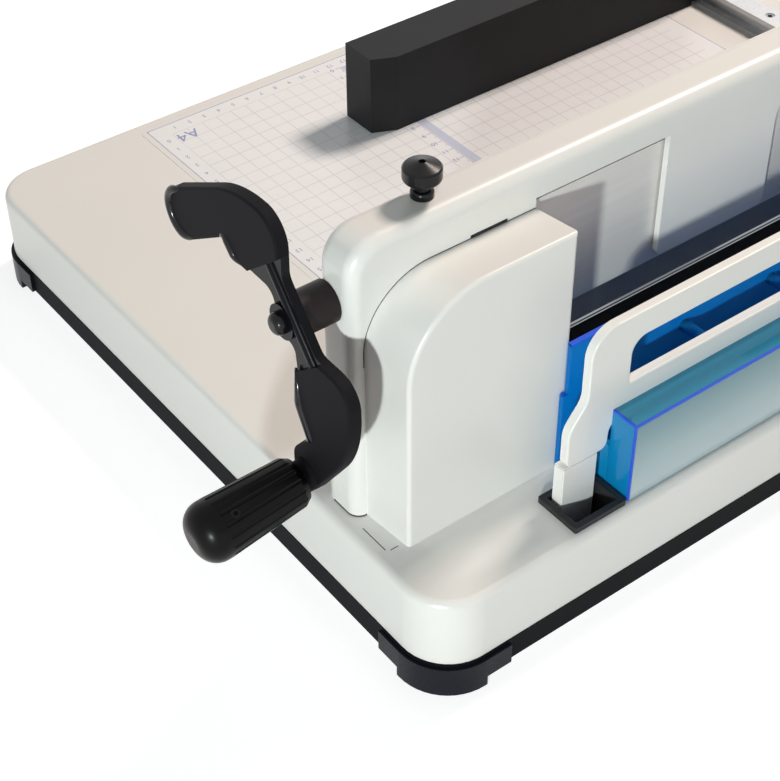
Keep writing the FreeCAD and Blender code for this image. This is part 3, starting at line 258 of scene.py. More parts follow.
# moulded plastic with a fine spark texture: a broad soft sheen
# real spark grain is about 0.1 mm, and is drawn at 0.7 mm or more so that it shows
def mouldedPlastic(name, dark, pale, low, high, grain, shine=0.2):
    material, tree, shader, place = newMaterial(name)
    cloud = addNode(tree, "ShaderNodeTexNoise", {"Vector": place}, {"Scale": perSize(18), "Detail": 4})
    tint = addNode(tree, "ShaderNodeMix", {"Factor": cloud.outputs["Fac"]},
                   {"A": srgb(dark), "B": srgb(pale)}, data_type="RGBA")
    spark = addNode(tree, "ShaderNodeTexNoise", {"Vector": place},
                    {"Scale": perSize(grain), "Detail": 2})
    bump = addNode(tree, "ShaderNodeBump", {"Height": spark.outputs["Fac"]},
                   {"Strength": 0.25, "Distance": 0.04 * mm})
    gloss = addNode(tree, "ShaderNodeMapRange", {"Value": spark.outputs["Fac"]},
                    {"To Min": low, "To Max": high})
    shader.inputs["Specular IOR Level"].default_value = shine
    tree.links.new(tint.outputs["Result"], shader.inputs["Base Color"])
    tree.links.new(bump.outputs["Normal"], shader.inputs["Normal"])
    tree.links.new(gloss.outputs["Result"], shader.inputs["Roughness"])
    return material


# cast arm in black enamel: matt rubbed lobes, glossy where the waist was left as dipped
# the casting's sand grain is drawn at 1.1 mm, coarser than real, so that it shows
armSpec = {"axis": (-0.1175, 0.172), "turn": 50, "front": -21 * mm, "back": 23.5 * mm, "grainMm": 1.1,
           "matt": ("0e0e11", "17161a"), "gloss": "0c0d12", "shine": 0.1}


def enamelledCasting():
    material, tree, shader, place = newMaterial("enamelledCastingBlack")
    slope = math.radians(armSpec["turn"])
    axes = addNode(tree, "ShaderNodeVectorMath", {0: place}, {1: (0, math.cos(slope), math.sin(slope))},
                   operation="DOT_PRODUCT")
    start = armSpec["axis"][0] * math.cos(slope) + armSpec["axis"][1] * math.sin(slope)
    middle = start + (armSpec["front"] + armSpec["back"]) / 2
    off = addNode(tree, "ShaderNodeMath", {0: axes.outputs["Value"]}, {1: middle}, operation="SUBTRACT")
    reach = addNode(tree, "ShaderNodeMath", {0: off.outputs[0]}, operation="ABSOLUTE")
    lobe = addNode(tree, "ShaderNodeMath", {0: reach.outputs[0]},
                   {1: (armSpec["back"] - armSpec["front"]) / 2}, operation="GREATER_THAN")
    grain = addNode(tree, "ShaderNodeTexNoise", {"Vector": place},
                    {"Scale": perSize(armSpec["grainMm"]), "Detail": 4})
    matt = addNode(tree, "ShaderNodeMix", {"Factor": grain.outputs["Fac"]},
                   {"A": srgb(armSpec["matt"][0]), "B": srgb(armSpec["matt"][1])}, data_type="RGBA")
    colour = addNode(tree, "ShaderNodeMix", {"Factor": lobe.outputs[0], "B": matt.outputs["Result"]},
                     {"A": srgb(armSpec["gloss"])}, data_type="RGBA")
    rough = addNode(tree, "ShaderNodeMapRange", {"Value": lobe.outputs[0]},
                    {"To Min": 0.2, "To Max": 0.7})
    bump = addNode(tree, "ShaderNodeBump", {"Height": grain.outputs["Fac"], "Strength": lobe.outputs[0]},
                   {"Distance": 0.03 * mm})
    tree.links.new(colour.outputs["Result"], shader.inputs["Base Color"])
    tree.links.new(rough.outputs["Result"], shader.inputs["Roughness"])
    shader.inputs["Specular IOR Level"].default_value = armSpec["shine"]
    tree.links.new(bump.outputs["Normal"], shader.inputs["Normal"])
    return material


# ground steel: grit lines along the blade, so reflections smear up and down
# the grit lines are drawn 0.5 mm apart or more, coarser than real, so that they show
def groundSteel(name, dark, pale, low, high, linesMm, metal=1.0, paintedFootShade=None):
    material, tree, shader, place = newMaterial(name)
    stretch = addNode(tree, "ShaderNodeMapping", {"Vector": place},
                      {"Scale": (perSize(90), perSize(3), perSize(linesMm))})
    lines = addNode(tree, "ShaderNodeTexNoise", {"Vector": stretch.outputs["Vector"]},
                    {"Scale": 1, "Detail": 4})
    tint = addNode(tree, "ShaderNodeMix", {"Factor": lines.outputs["Fac"]},
                   {"A": srgb(dark), "B": srgb(pale)}, data_type="RGBA")
    bump = addNode(tree, "ShaderNodeBump", {"Height": lines.outputs["Fac"]},
                   {"Strength": 0.2, "Distance": 0.01 * mm})
    gloss = addNode(tree, "ShaderNodeMapRange", {"Value": lines.outputs["Fac"]},
                    {"To Min": low, "To Max": high})
    colour = tint.outputs["Result"]
    shader.inputs["Metallic"].default_value = metal
    if paintedFootShade:
        # the foot of the plate is painted darker downward: painted shade and a painted dark reflection of
        # the gap under the blade, blended in by height
        axes = addNode(tree, "ShaderNodeSeparateXYZ", {"Vector": place})
        film = addNode(tree, "ShaderNodeMapRange", {"Value": axes.outputs["Z"]},
                       {"From Min": paintedFootShade["low"] * mm, "From Max": paintedFootShade["high"] * mm},
                       interpolation_type="SMOOTHSTEP")
        mixed = addNode(tree, "ShaderNodeMix", {"Factor": film.outputs["Result"], "B": colour},
                        {"A": srgb(paintedFootShade["tint"])}, data_type="RGBA")
        colour = mixed.outputs["Result"]
    tree.links.new(colour, shader.inputs["Base Color"])
    tree.links.new(bump.outputs["Normal"], shader.inputs["Normal"])
    tree.links.new(gloss.outputs["Result"], shader.inputs["Roughness"])
    return material


# turned, plated or sintered metal: fine mottling of about a millimetre, a dull bright skin
def platedMetal(name, dark, pale, low, high, spot):
    material, tree, shader, place = newMaterial(name)
    mottle = addNode(tree, "ShaderNodeTexNoise", {"Vector": place},
                     {"Scale": perSize(spot), "Detail": 5})
    tint = addNode(tree, "ShaderNodeMix", {"Factor": mottle.outputs["Fac"]},
                   {"A": srgb(dark), "B": srgb(pale)}, data_type="RGBA")
    gloss = addNode(tree, "ShaderNodeMapRange", {"Value": mottle.outputs["Fac"]},
                    {"To Min": low, "To Max": high})
    bump = addNode(tree, "ShaderNodeBump", {"Height": mottle.outputs["Fac"]},
                   {"Strength": 0.15, "Distance": 0.02 * mm})
    tree.links.new(tint.outputs["Result"], shader.inputs["Base Color"])
    tree.links.new(gloss.outputs["Result"], shader.inputs["Roughness"])
    tree.links.new(bump.outputs["Normal"], shader.inputs["Normal"])
    shader.inputs["Metallic"].default_value = 1.0
    return material


# cast acrylic sheet, tinted blue: pale through a face, deeper where the light runs along the sheet; the tint
# is picked by the way a surface points, so the folded front cover's roof and side walls, though faces of the
# sheet, are painted deeper, as painted light and shade
def castAcrylic(name, facing, roof, side, clearFace, clearEdge, shine=0.5, fade=None):
    material, tree, shader, place = newMaterial(name)
    normal = addNode(tree, "ShaderNodeTexCoord").outputs["Normal"]
    axes = addNode(tree, "ShaderNodeSeparateXYZ", {"Vector": normal})
    across = addNode(tree, "ShaderNodeMath", {0: axes.outputs["Y"]}, operation="ABSOLUTE")
    upward = addNode(tree, "ShaderNodeMath", {0: axes.outputs["Z"]}, operation="ABSOLUTE")
    edge = addNode(tree, "ShaderNodeMix", {"Factor": upward.outputs[0]},
                   {"A": srgb(side), "B": srgb(roof)}, data_type="RGBA")
    tint = addNode(tree, "ShaderNodeMix", {"Factor": across.outputs[0], "A": edge.outputs["Result"]},
                   {"B": srgb(facing)}, data_type="RGBA")
    if fade:
        # the face is painted paler towards its foot and deeper towards the roof: painted shade of the
        # cover's inside under its roof
        height = addNode(tree, "ShaderNodeSeparateXYZ", {"Vector": place}).outputs["Z"]
        amount = addNode(tree, "ShaderNodeMapRange", {"Value": height},
                         {"From Min": fade["low"] * mm, "From Max": fade["high"] * mm})
        face = addNode(tree, "ShaderNodeMix", {"Factor": amount.outputs["Result"]},
                       {"A": srgb(fade["tint"]), "B": srgb(facing)}, data_type="RGBA")
        tree.links.new(face.outputs["Result"], tint.inputs["B"])
    clear = addNode(tree, "ShaderNodeMapRange", {"Value": across.outputs[0]},
                    {"To Min": clearEdge, "To Max": clearFace})
    cloud = addNode(tree, "ShaderNodeTexNoise", {"Vector": place}, {"Scale": perSize(60), "Detail": 2})
    gloss = addNode(tree, "ShaderNodeMapRange", {"Value": cloud.outputs["Fac"]},
                    {"To Min": 0.03, "To Max": 0.07})
    tree.links.new(tint.outputs["Result"], shader.inputs["Base Color"])
    tree.links.new(gloss.outputs["Result"], shader.inputs["Roughness"])
    tree.links.new(clear.outputs["Result"], shader.inputs["Transmission Weight"])
    shader.inputs["IOR"].default_value = 1.49
    shader.inputs["Specular IOR Level"].default_value = shine
    return material


# sawn edge of the acrylic, deep blue, with a painted glow: a faint emission stands in for light gathered
# from inside the sheet
# the saw marks are drawn at 1.5 mm, coarser than real, so that they show
def acrylicEdge():
    material, tree, shader, place = newMaterial("sawnAcrylicEdgePaintedGlow")
    saw = addNode(tree, "ShaderNodeTexNoise", {"Vector": place}, {"Scale": perSize(1.5), "Detail": 3})
    tint = addNode(tree, "ShaderNodeMix", {"Factor": saw.outputs["Fac"]},
                   {"A": srgb("1c4ac6"), "B": srgb("2f5fd8")}, data_type="RGBA")
    tree.links.new(tint.outputs["Result"], shader.inputs["Base Color"])
    tree.links.new(tint.outputs["Result"], shader.inputs["Emission Color"])
    shader.inputs["Emission Strength"].default_value = 0.1
    shader.inputs["Specular IOR Level"].default_value = 0.2
    shader.inputs["Roughness"].default_value = 0.4
    return material


# moulded rubber, and the black of the painted shade in the joints: dull, a little dusty
def mouldedRubber(name, dark, pale):
    material, tree, shader, place = newMaterial(name)
    dust = addNode(tree, "ShaderNodeTexNoise", {"Vector": place}, {"Scale": perSize(6), "Detail": 6})
    tint = addNode(tree, "ShaderNodeMix", {"Factor": dust.outputs["Fac"]},
                   {"A": srgb(dark), "B": srgb(pale)}, data_type="RGBA")
    bump = addNode(tree, "ShaderNodeBump", {"Height": dust.outputs["Fac"]},
                   {"Strength": 0.3, "Distance": 0.05 * mm})
    gloss = addNode(tree, "ShaderNodeMapRange", {"Value": dust.outputs["Fac"]},
                    {"To Min": 0.6, "To Max": 0.8})
    tree.links.new(tint.outputs["Result"], shader.inputs["Base Color"])
    tree.links.new(bump.outputs["Normal"], shader.inputs["Normal"])
    tree.links.new(gloss.outputs["Result"], shader.inputs["Roughness"])
    return material


paint = coatedSteel("powderCoatedSteelWhite", "ecebe8", "e6e5e1", 0.26, 0.34)
hubPaint = coatedSteel("stovedPaintBrownBlack", "1c1416", "261c1e", 0.4, 0.5, 0.2)
blackPaint = coatedSteel("stovedPaintBlack", "121215", "1a1a1e", 0.35, 0.5, 0.3)
lipEnamel = coatedSteel("dippedEnamelBlack", "0a0b0f", "101218", 0.16, 0.22, 0.35)
film = printedFilm()
ink = screenInk("screenInkBlue", "7f88bb", "a4abd0")
paleInk = screenInk("screenInkPaleBlue", "c3cbe0", "ccd3e6")
casting = enamelledCasting()
mattAbs = mouldedPlastic("mouldedAbsMattBlack", "131315", "1c1c1f", 0.45, 0.6, 0.7)
# the guard sockets' matt black ABS, painted lighter grey as painted light
paintedLighterAbs = mouldedPlastic("mouldedAbsBlackPaintedLighter", "26282a", "343638", 0.45, 0.6, 0.7)
trimPvc = mouldedPlastic("extrudedPvcBlack", "0a0b0d", "121316", 0.5, 0.65, 1.2, 0.05)
glossAbs = mouldedPlastic("mouldedAbsGlossBlack", "0e1117", "191d27", 0.22, 0.32, 1.0, 0.1)
phenolic = mouldedPlastic("polishedPhenolicBlack", "08080a", "101013", 0.2, 0.3, 2.5, 0.25)
gripPhenolic = mouldedPlastic("mouldedPhenolicBlack", "050506", "0b0b0d", 0.26, 0.36, 0.9, 0.12)
stickPlastic = mouldedPlastic("extrudedPolypropylene", "cfcfca", "dcdcd8", 0.45, 0.6, 1.5)
# the plate's foot gets painted shade, darkest below 90 mm and gone above 122 mm
plateSteel = groundSteel("surfaceGroundPlate", "d6d2cd", "e6e3df", 0.3, 0.42, 2.2, 0.15,
                         {"low": 90, "high": 122, "tint": "8f867b"})
bladeSteel = groundSteel("hollowGroundBlade", "8a8580", "9b9691", 0.25, 0.35, 0.5, 0.3)
honedSteel = groundSteel("honedSteelEdge", "8d9297", "a4a9ad", 0.12, 0.2, 0.5)
zinc = platedMetal("zincPlatedSteel", "9fa1a3", "c4c6c8", 0.25, 0.4, 2.0)
turnedSteel = platedMetal("turnedSteel", "86888a", "b1b2b4", 0.22, 0.36, 1.2)
# dark metal for the screw sockets: painted shade standing in for their hollows
paintedHollowShade = platedMetal("paintedHollowShadeBlack", "0c0c0d", "161618", 0.4, 0.55, 1.2)
alloy = platedMetal("anodisedAluminium", "b3b5b7", "d0d1d3", 0.35, 0.45, 1.4)
darkAlloy = platedMetal("blackAnodisedAluminium", "1d1d20", "2b2b2f", 0.35, 0.5, 1.4)
bronze = platedMetal("sinteredBronze", "8a6a3a", "a98450", 0.35, 0.5, 0.9)
# the front cover: its face is painted paler from 102 mm down to 58 mm, painted shade that deepens under the
# roof
acrylic = castAcrylic("castAcrylicPaleBlue", "78aab6", "3d9fc4", "0a8ecb", 0.35, 0.25, 0.4,
                      {"low": 58, "high": 102, "tint": "d6e8ec"})
# the cheeks' acrylic, a saturated blue and less clear than the other sheets, as painted light on ends that
# sit in shade
paintedBrightAcrylic = castAcrylic("castAcrylicBluePaintedBright", "1296cf", "1296cf", "1296cf", 0.25, 0.25, 0.25)
acrylicDeep = castAcrylic("castAcrylicDeepBlue", "0a86de", "1a62dd", "0a74c4", 0.2, 0.2, 0.05)
acrylicPost = castAcrylic("turnedAcrylicCyan", "1f8fd0", "1f8fd0", "1f8fd0", 0.7, 0.7)
paintedEdgeGlow = acrylicEdge()
rubber = mouldedRubber("mouldedRubberBlack", "1a1a1b", "2a2a2b")
# black for the painted shade in the joints
paintedJointShade = mouldedRubber("paintedJointShadeBlack", "0f0f10", "18181a")

dress(paint, "base_tray", "portal_frame", "left_housing", "lever_housing", "guard_frame")
dress(film, "table_sheet")
dress(trimPvc, "edge_trim")
dress(glossAbs, "corner_feet", "gauge_knob")
dress(mattAbs, "gauge_bar", "gauge_carriage", "left_rack_guide", "right_rack_guide")
dress(paintedLighterAbs, "left_guard_socket", "right_guard_socket")
dress(casting, "crank_arm")
dress(hubPaint, "crank_hub")
dress(gripPhenolic, "crank_grip")
dress(phenolic, "left_thumbscrew", "right_thumbscrew", "crank_bolt")
dress(blackPaint, "lever_arm")
dress(rubber, "lever_grip", "clamp_pad")
dress(plateSteel, "blade_carrier")
dress(bladeSteel, "blade")
dress(zinc, "bottom_plate", "foot_screws", "cross_beam", "portal_bolts", "housing_screws", "rail_screws",
      "guard_screws", "blade_bolts", "lever_bolt")
dress(turnedSteel, "link_stud", "left_link", "lever_shaft", "carrier_pins", "crank_shaft", "grip_pin",
      "left_pinion", "right_pinion", "left_rack", "right_rack")
dress(alloy, "gauge_rail")
dress(acrylicPost, "guard_standoffs")
dress(darkAlloy, "clamp_bar")
dress(bronze, "lever_bush", "left_shaft_bush", "right_shaft_bush")
dress(stickPlastic, "cutting_stick")
dress(acrylic, "front_cover")
print("materials set")

# figures, ticks and frame lines printed on the table, in mm
figureSpec = {"lift": 0.02, "depth": 0.03, "textDepth": 0.01, "textScale": 1.4, "turn": 180,
              "frameLine": 0.45, "ticks": {"cell": 4.2, "half": 2.8, "one": 1.7}, "tickHalf": 0.15,
              "rulerHeight": 3.2, "rulerOff": 7.0, "edgeHeight": 3.0, "edgeOff": 5.2, "columns": 30,
              "mark": "A4", "markHeight": 8.5, "markRight": 7, "markFront": 6}


def flatRect(bm, x0, x1, y0, y1, z):
    addBox(bm, (x0, y0, z - figureSpec["depth"]), (x1, y1, z))


def figure(bm, text, x, y, z, height):
    # one printed figure as flat faces, centred on its place, to be read from behind the machine
    curve = bpy.data.curves.new("figure", "FONT")
    curve.body = text
    curve.size = height * mm * figureSpec["textScale"]
    curve.extrude = figureSpec["textDepth"] * mm
    curve.align_x = "CENTER"
    curve.align_y = "CENTER"
    holder = bpy.data.objects.new("figure", curve)
    scene.collection.objects.link(holder)
    bpy.context.view_layer.update()
    mesh = bpy.data.meshes.new_from_object(holder)
    spin = Matrix.Rotation(math.radians(figureSpec["turn"]), 4, "Z")
    mesh.transform(Matrix.Translation((x * mm, y * mm, z * mm)) @ spin)
    bm.from_mesh(mesh)
    bpy.data.objects.remove(holder)
    bpy.data.meshes.remove(mesh)


def tablePrint():
    p, f = printSpec, figureSpec
    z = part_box("table_sheet")[1].z / mm + f["lift"]
    bm = bmesh.new()
    line = f["frameLine"]
    flatRect(bm, p["frameLeft"], p["frameRight"], p["frameBack"] - line, p["frameBack"], z)
    flatRect(bm, p["frameLeft"], p["frameLeft"] + line, p["frameFront"], p["frameBack"], z)
    flatRect(bm, p["frameRight"] - line, p["frameRight"], p["frameFront"], p["frameBack"], z)
    tick, left, back = p["rulerLeft"], p["gridLeft"], p["gridBack"]
    cell = int(p["cell"])
    half = cell // 2
    count = int(back - p["frameFront"])
    for k in range(count):
        reach = f["ticks"]["cell" if k % cell == 0 else "half" if k % half == 0 else "one"]
        flatRect(bm, tick - reach, tick, back - k - f["tickHalf"], back - k + f["tickHalf"], z)
    for k in range(0, count // cell + 1):
        figure(bm, str(k), tick - f["rulerOff"], back - cell * k, z, f["rulerHeight"])
        figure(bm, str(k), left - f["edgeOff"], back - cell * k - half, z, f["edgeHeight"])
    for k in range(1, f["columns"] + 1):
        figure(bm, str(k), left + cell * k - half, back + f["edgeOff"], z, f["edgeHeight"])
    figure(bm, f["mark"], left + f["markRight"], back - f["markFront"], z, f["markHeight"])
    return meshFrom("tablePrint", bm)


addPiece("tablePrint", tablePrint(), ink, "base")

# pale strip beside the ruler's ticks
stripSpec = {"lift": 0.015}


def rulerStrip():
    p = printSpec
    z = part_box("table_sheet")[1].z / mm + stripSpec["lift"]
    bm = bmesh.new()
    flatRect(bm, p["rulerLeft"], p["rulerRight"], p["frameFront"], p["gridBack"], z)
    return meshFrom("rulerStrip", bm)


addPiece("rulerStrip", rulerStrip(), paleInk, "base")
print("table print laid")

# the guard's rear panel: a wide foot in front of the housings, a narrower top between them
panelSpec = {"footHeight": 44.0, "stepIn": 2.8, "screwProud": 0.05}


def rearPanel():
    q = panelSpec
    bm = bmesh.new()
    low, high = boxMm("rear_panel")
    step = low[2] + q["footHeight"]
    left, right = low[0] + q["stepIn"], high[0] - q["stepIn"]
    outline = [(low[0], low[2]), (low[0], step), (left, step), (left, high[2]),
               (right, high[2]), (right, step), (high[0], step), (high[0], low[2])]
    addSheet(bm, outline, low[1], high[1] - q["screwProud"])
    return meshFrom("rearPanel", bm)


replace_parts(addPiece("rearPanel", rearPanel(), acrylicDeep, "guard"), "rear_panel")

# acrylic ends that close the space between the guard's plate and its rear panel
cheekSpec = {"wall": 2.5, "gap": 0.1}


def guardCheeks():
    bm = bmesh.new()
    low, high = boxMm("front_cover")
    gap, wall = cheekSpec["gap"], cheekSpec["wall"]
    front = boxMm("guard_frame")[1][1] + gap
    back = boxMm("rear_panel")[0][1] - gap
    foot = boxMm("guard_frame")[0][2] - gap
    toe = high[1] + gap
    for x in (low[0], high[0] - wall):
        end = x + wall
        outline = [(toe, low[2]), (back, low[2]), (back, high[2]), (front, high[2]), (front, foot),
                   (toe, foot)]
        addPrism(bm, [(x, y, z) for y, z in outline], [(end, y, z) for y, z in outline])
    return meshFrom("guardCheeks", bm)


addPiece("guardCheeks", guardCheeks(), paintedBrightAcrylic, "guard")

# guard legs: a shank below the plate's foot, and a tongue hidden behind the limb
legSpec = {"joint": 0.4, "outerInset": 11.0, "innerInset": 2.0, "round": 0.5, "tongueRoot": 5.0,
           "tongueGap": 0.02}


def guardLeg(name, pieceName, side):
    q = legSpec
    bm = bmesh.new()
    low, high = boxMm(name)
    plateLow, plateHigh = boxMm("guard_frame")
    shoulder = plateLow[2] - q["joint"]
    left, right = (q["outerInset"], q["innerInset"]) if side < 0 else (q["innerInset"], q["outerInset"])
    x0, x1 = low[0] + left, high[0] - right
    addBox(bm, low, (high[0], high[1], shoulder))
    bmesh.ops.bevel(bm, geom=bm.edges[:], offset=q["round"] * mm, segments=2, affect="EDGES")
    addBox(bm, (x0, plateHigh[1], shoulder - q["tongueRoot"]), (x1, high[1] - q["tongueGap"], high[2]))
    return meshFrom(pieceName, bm)


for name, pieceName, side in (("left_guard_leg", "leftGuardLeg", -1),
                              ("right_guard_leg", "rightGuardLeg", 1)):
    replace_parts(addPiece(pieceName, guardLeg(name, pieceName, side), paint, "guard"), name)

# deep blue strips along the front cover's top edges and front corners and the rear panel's top edge, with a
# painted glow that stands in for light gathered in the sheet
glowSpec = {"width": 1.0, "proud": 0.06, "panelLine": 0.8, "plateGap": 0.1}


def acrylicEdges():
    bm = bmesh.new()
    w = glowSpec["width"]
    out = glowSpec["proud"]
    low, high = boxMm("front_cover")
    addBox(bm, (low[0] - out, low[1] - out, high[2] - w), (high[0] + out, low[1] + w, high[2] + out))
    for x0, x1 in ((low[0] - out, low[0] + w), (high[0] - w, high[0] + out)):
        addBox(bm, (x0, low[1] - out, low[2]), (x1, low[1] + w, high[2] - w))
        addBox(bm, (x0, low[1] + w, high[2] - w), (x1, high[1] - glowSpec["plateGap"], high[2] + out))
    low, high = boxMm("rear_panel")
    step = panelSpec["stepIn"]
    addBox(bm, (low[0] + step, low[1] - out, high[2] - glowSpec["panelLine"]),
           (high[0] - step, high[1] + out, high[2] + out))
    return meshFrom("acrylicEdges", bm)


addPiece("acrylicEdges", acrylicEdges(), paintedEdgeGlow, "guard")
print("guard built")

# two honed lines just above the cutting edge, each a low ridge whose upper face looks at the sky
honeSpec = {"heights": (0.9, 2.6), "proud": 0.7, "fall": 0.5, "root": 0.2, "inset": 1.0}


def bladeHone():
    q = honeSpec
    bm = bmesh.new()
    low, high = boxMm("blade")
    for height in q["heights"]:
        top = low[2] + height
        section = ((low[1] + q["root"], top), (low[1] - q["proud"], top - q["fall"]),
                   (low[1] + q["root"], top - q["fall"]))
        ends = [[(x, y, z) for y, z in section] for x in (low[0] + q["inset"], high[0] - q["inset"])]
        addPrism(bm, *ends)
    return meshFrom("bladeHone", bm)


addPiece("bladeHone", bladeHone(), honedSteel, "carrier")

# painted shade in the joints, as thin dark strips: round the columns' feet, beside the housing's foot, and
# where the housings meet the portal, with a wider strip just above each housing's top
jointShadeSpec = {"proud": 0.06, "sunk": 0.1, "footRise": 0.8, "footDepth": 1.0, "footRound": 6.0, "footSteps": 6,
            "line": 0.45, "lineLift": 0.02, "lineLeft": -252.6, "lineRight": -246.4, "lineFront": -156.0,
            "lineBack": -138.0, "cornerFront": 1.5, "cornerLeft": 2.0,
            "housingSide": -245.8, "housingInner": -156.0, "housingTop": 183.5, "housingCorner": 34.0,
            "housingSteps": 16, "housingLine": 0.4, "footClear": 86.0,
            "gapShadeLeft": -191.0, "gapShadeRight": -171.5, "gapShadeRise": 1.7, "gapShadeLift": 0.02}


def arc(x, y, radius, start, end, steps):
    angles = [math.radians(start + (end - start) * k / steps) for k in range(steps + 1)]
    return [(x + radius * math.cos(t), y + radius * math.sin(t)) for t in angles]


def footSeams():
    q = jointShadeSpec
    bm = bmesh.new()
    low, high = boxMm("portal_frame")
    z = low[2]
    lineTop, left, front = z + q["lineLift"], q["lineLeft"], q["lineFront"]
    flatRect(bm, left, left + q["line"], front + q["cornerFront"], q["lineBack"], lineTop)
    flatRect(bm, left + q["cornerLeft"], q["lineRight"], front, front + q["line"], lineTop)
    c, deep = q["footRound"], q["footDepth"]
    outer = arc(low[0] + c, low[1] + c, c + q["proud"], 270, 180, q["footSteps"])
    outer += [(low[0] - q["proud"], high[1] - c)]
    inner = [(low[0] + deep, high[1] - c), (low[0] + deep, low[1] + c), (low[0] + c, low[1] + deep)]
    r, line, top = q["housingCorner"], q["housingLine"], q["housingTop"]
    side, inward, foot = q["housingSide"], q["housingInner"], z + q["footClear"]
    inside = [(side, foot)] + arc(side + r, top - r, r, 180, 90, q["housingSteps"]) + [(inward, top)]
    outside = [(side - line, foot)] + arc(side + r, top - r, r + line, 180, 90, q["housingSteps"])
    outside += [(inward, top + line)]
    gapShade = [(q["gapShadeLeft"], top), (q["gapShadeRight"], top), (q["gapShadeRight"], top + q["gapShadeRise"]),
           (q["gapShadeLeft"], top + q["gapShadeRise"])]
    face, rear = low[1] - q["proud"], low[1] + q["sunk"]
    for mirror in (1, -1):
        ring = [(mirror * x, y) for x, y in outer + inner]
        addPrism(bm, [(x, y, z) for x, y in ring], [(x, y, z + q["footRise"]) for x, y in ring])
        addSheet(bm, [(mirror * u, v) for u, v in inside + outside[::-1]], face, rear)
        addSheet(bm, [(mirror * u, v) for u, v in gapShade], face - q["gapShadeLift"], rear)
    return meshFrom("footSeams", bm)


addPiece("footSeams", footSeams(), paintedJointShade, "base")
print("blade and joints lined")

# set screw that holds the grip on its pin
gripSpec = {"start": (-275, -130.5, 98.4), "tilt": 5, "along": 39.4, "around": -125, "radius": 13.3,
            "screw": {"radius": 1.9, "depth": 0.6, "sides": 24},
            "socket": {"radius": 1.15, "depth": 0.1, "sides": 6}, "socketLift": 0.31}


def gripScrew():
    g = gripSpec
    tilt = math.radians(g["tilt"])
    axis = Vector((-math.cos(tilt), 0, -math.sin(tilt)))
    across = Vector((0, 1, 0))
    turnBy = math.radians(g["around"])
    outward = across * math.cos(turnBy) + axis.cross(across) * math.sin(turnBy)
    place = Vector(g["start"]) + axis * g["along"] + outward * g["radius"]
    bm = bmesh.new()
    addRound(bm, place, outward, **g["screw"])
    return meshFrom("gripScrew", bm), place + outward * g["socketLift"], outward


screwMesh, socketPlace, socketAxis = gripScrew()
addPiece("gripScrew", screwMesh, darkAlloy, "grip")
# the screw's socket as a thin dark hexagon: painted shade standing in for the hollow
bm = bmesh.new()
addRound(bm, socketPlace, socketAxis, **gripSpec["socket"])
addPiece("gripSocket", meshFrom("gripSocket", bm), paintedHollowShade, "grip")

# glossy lips along the rear edges of the crank's lobes, where the dipped enamel was not rubbed down
# each path has points back and up from the shaft with the corner's radius, in mm
lipSpec = {"axis": (-117.5, 172.0), "face": -275.0, "radius": 2.2, "proud": 1.5, "sides": 14, "arcSteps": 8,
           "taper": 0.25, "fade": 9.0,
           "end": ((71.7, 23.7, 0), (86.1, 15.8, 10), (75.2, -3.6, 10), (64.5, 3.3, 0)),
           "neck": ((44, 16.5, 0), (39.4, 19.5, 3), (32.2, 12.2, 4), (26, 11.7, 0)),
           "lower": ((-7.9, -19, 0), (-9.4, -36.8, 8), (-16.5, -51.1, 1.5), (-12, -56.6, 0))}


def roundedPath(corners, steps):
    # corner points given with their radii, as a line with true arcs
    path = [Vector(corners[0][:2])]
    for before, corner, after in zip(corners, corners[1:], corners[2:]):
        point = Vector(corner[:2])
        come = (point - Vector(before[:2])).normalized()
        leave = (Vector(after[:2]) - point).normalized()
        half = come.angle(leave) / 2
        trim = corner[2] * math.tan(half)
        bisector = (leave - come).normalized()
        centre = point + bisector * corner[2] / math.cos(half)
        start = point - come * trim - centre
        sweep = come.angle_signed(leave)
        for k in range(steps + 1):
            t = -sweep * k / steps
            path.append(centre + Vector((start.x * math.cos(t) - start.y * math.sin(t),
                                         start.x * math.sin(t) + start.y * math.cos(t))))
    path.append(Vector(corners[-1][:2]))
    return path


def addBead(bm, path, q):
    # a half sunk round along a path on the arm's face, thinner at its ends
    rings = []
    steps = [(b - a).length for a, b in zip(path, path[1:])]
    for k, point in enumerate(path):
        along = (path[min(k + 1, len(path) - 1)] - path[max(k - 1, 0)]).normalized()
        toEnd = min(sum(steps[:k]), sum(steps[k:]), q["fade"])
        radius = q["radius"] * (q["taper"] + (1 - q["taper"]) * toEnd / q["fade"])
        ring = []
        for i in range(q["sides"]):
            t = 2 * math.pi * i / q["sides"]
            side = radius * math.cos(t)
            ring.append(bm.verts.new(Vector((q["face"] + q["radius"] - q["proud"] + radius * math.sin(t),
                                             q["axis"][0] + point.x + along.y * side,
                                             q["axis"][1] + point.y - along.x * side)) * mm))
        rings.append(ring)
    for first, second in zip(rings, rings[1:]):
        for i in range(q["sides"]):
            j = (i + 1) % q["sides"]
            bm.faces.new((first[i], first[j], second[j], second[i]))
    bm.faces.new(rings[0])
    bm.faces.new(rings[-1])


def crankLips():
    q = lipSpec
    bm = bmesh.new()
    for edge in ("end", "neck", "lower"):
        addBead(bm, roundedPath(q[edge], q["arcSteps"]), q)
    return meshFrom("crankLips", bm, smooth=True)


addPiece("crankLips", crankLips(), lipEnamel, "crank")
print("crank finished")

# hexagon sockets of the rail screws and the lever bolt, drawn as thin dark hexagons on the heads: painted
# shade standing in for the hollows
hexSpec = {"rail": {"radius": 1.7, "depth": 0.08, "sides": 6}, "railLift": 0.02,
           "lever": {"radius": 4, "depth": 0.08, "sides": 6}, "leverLift": 0.01}


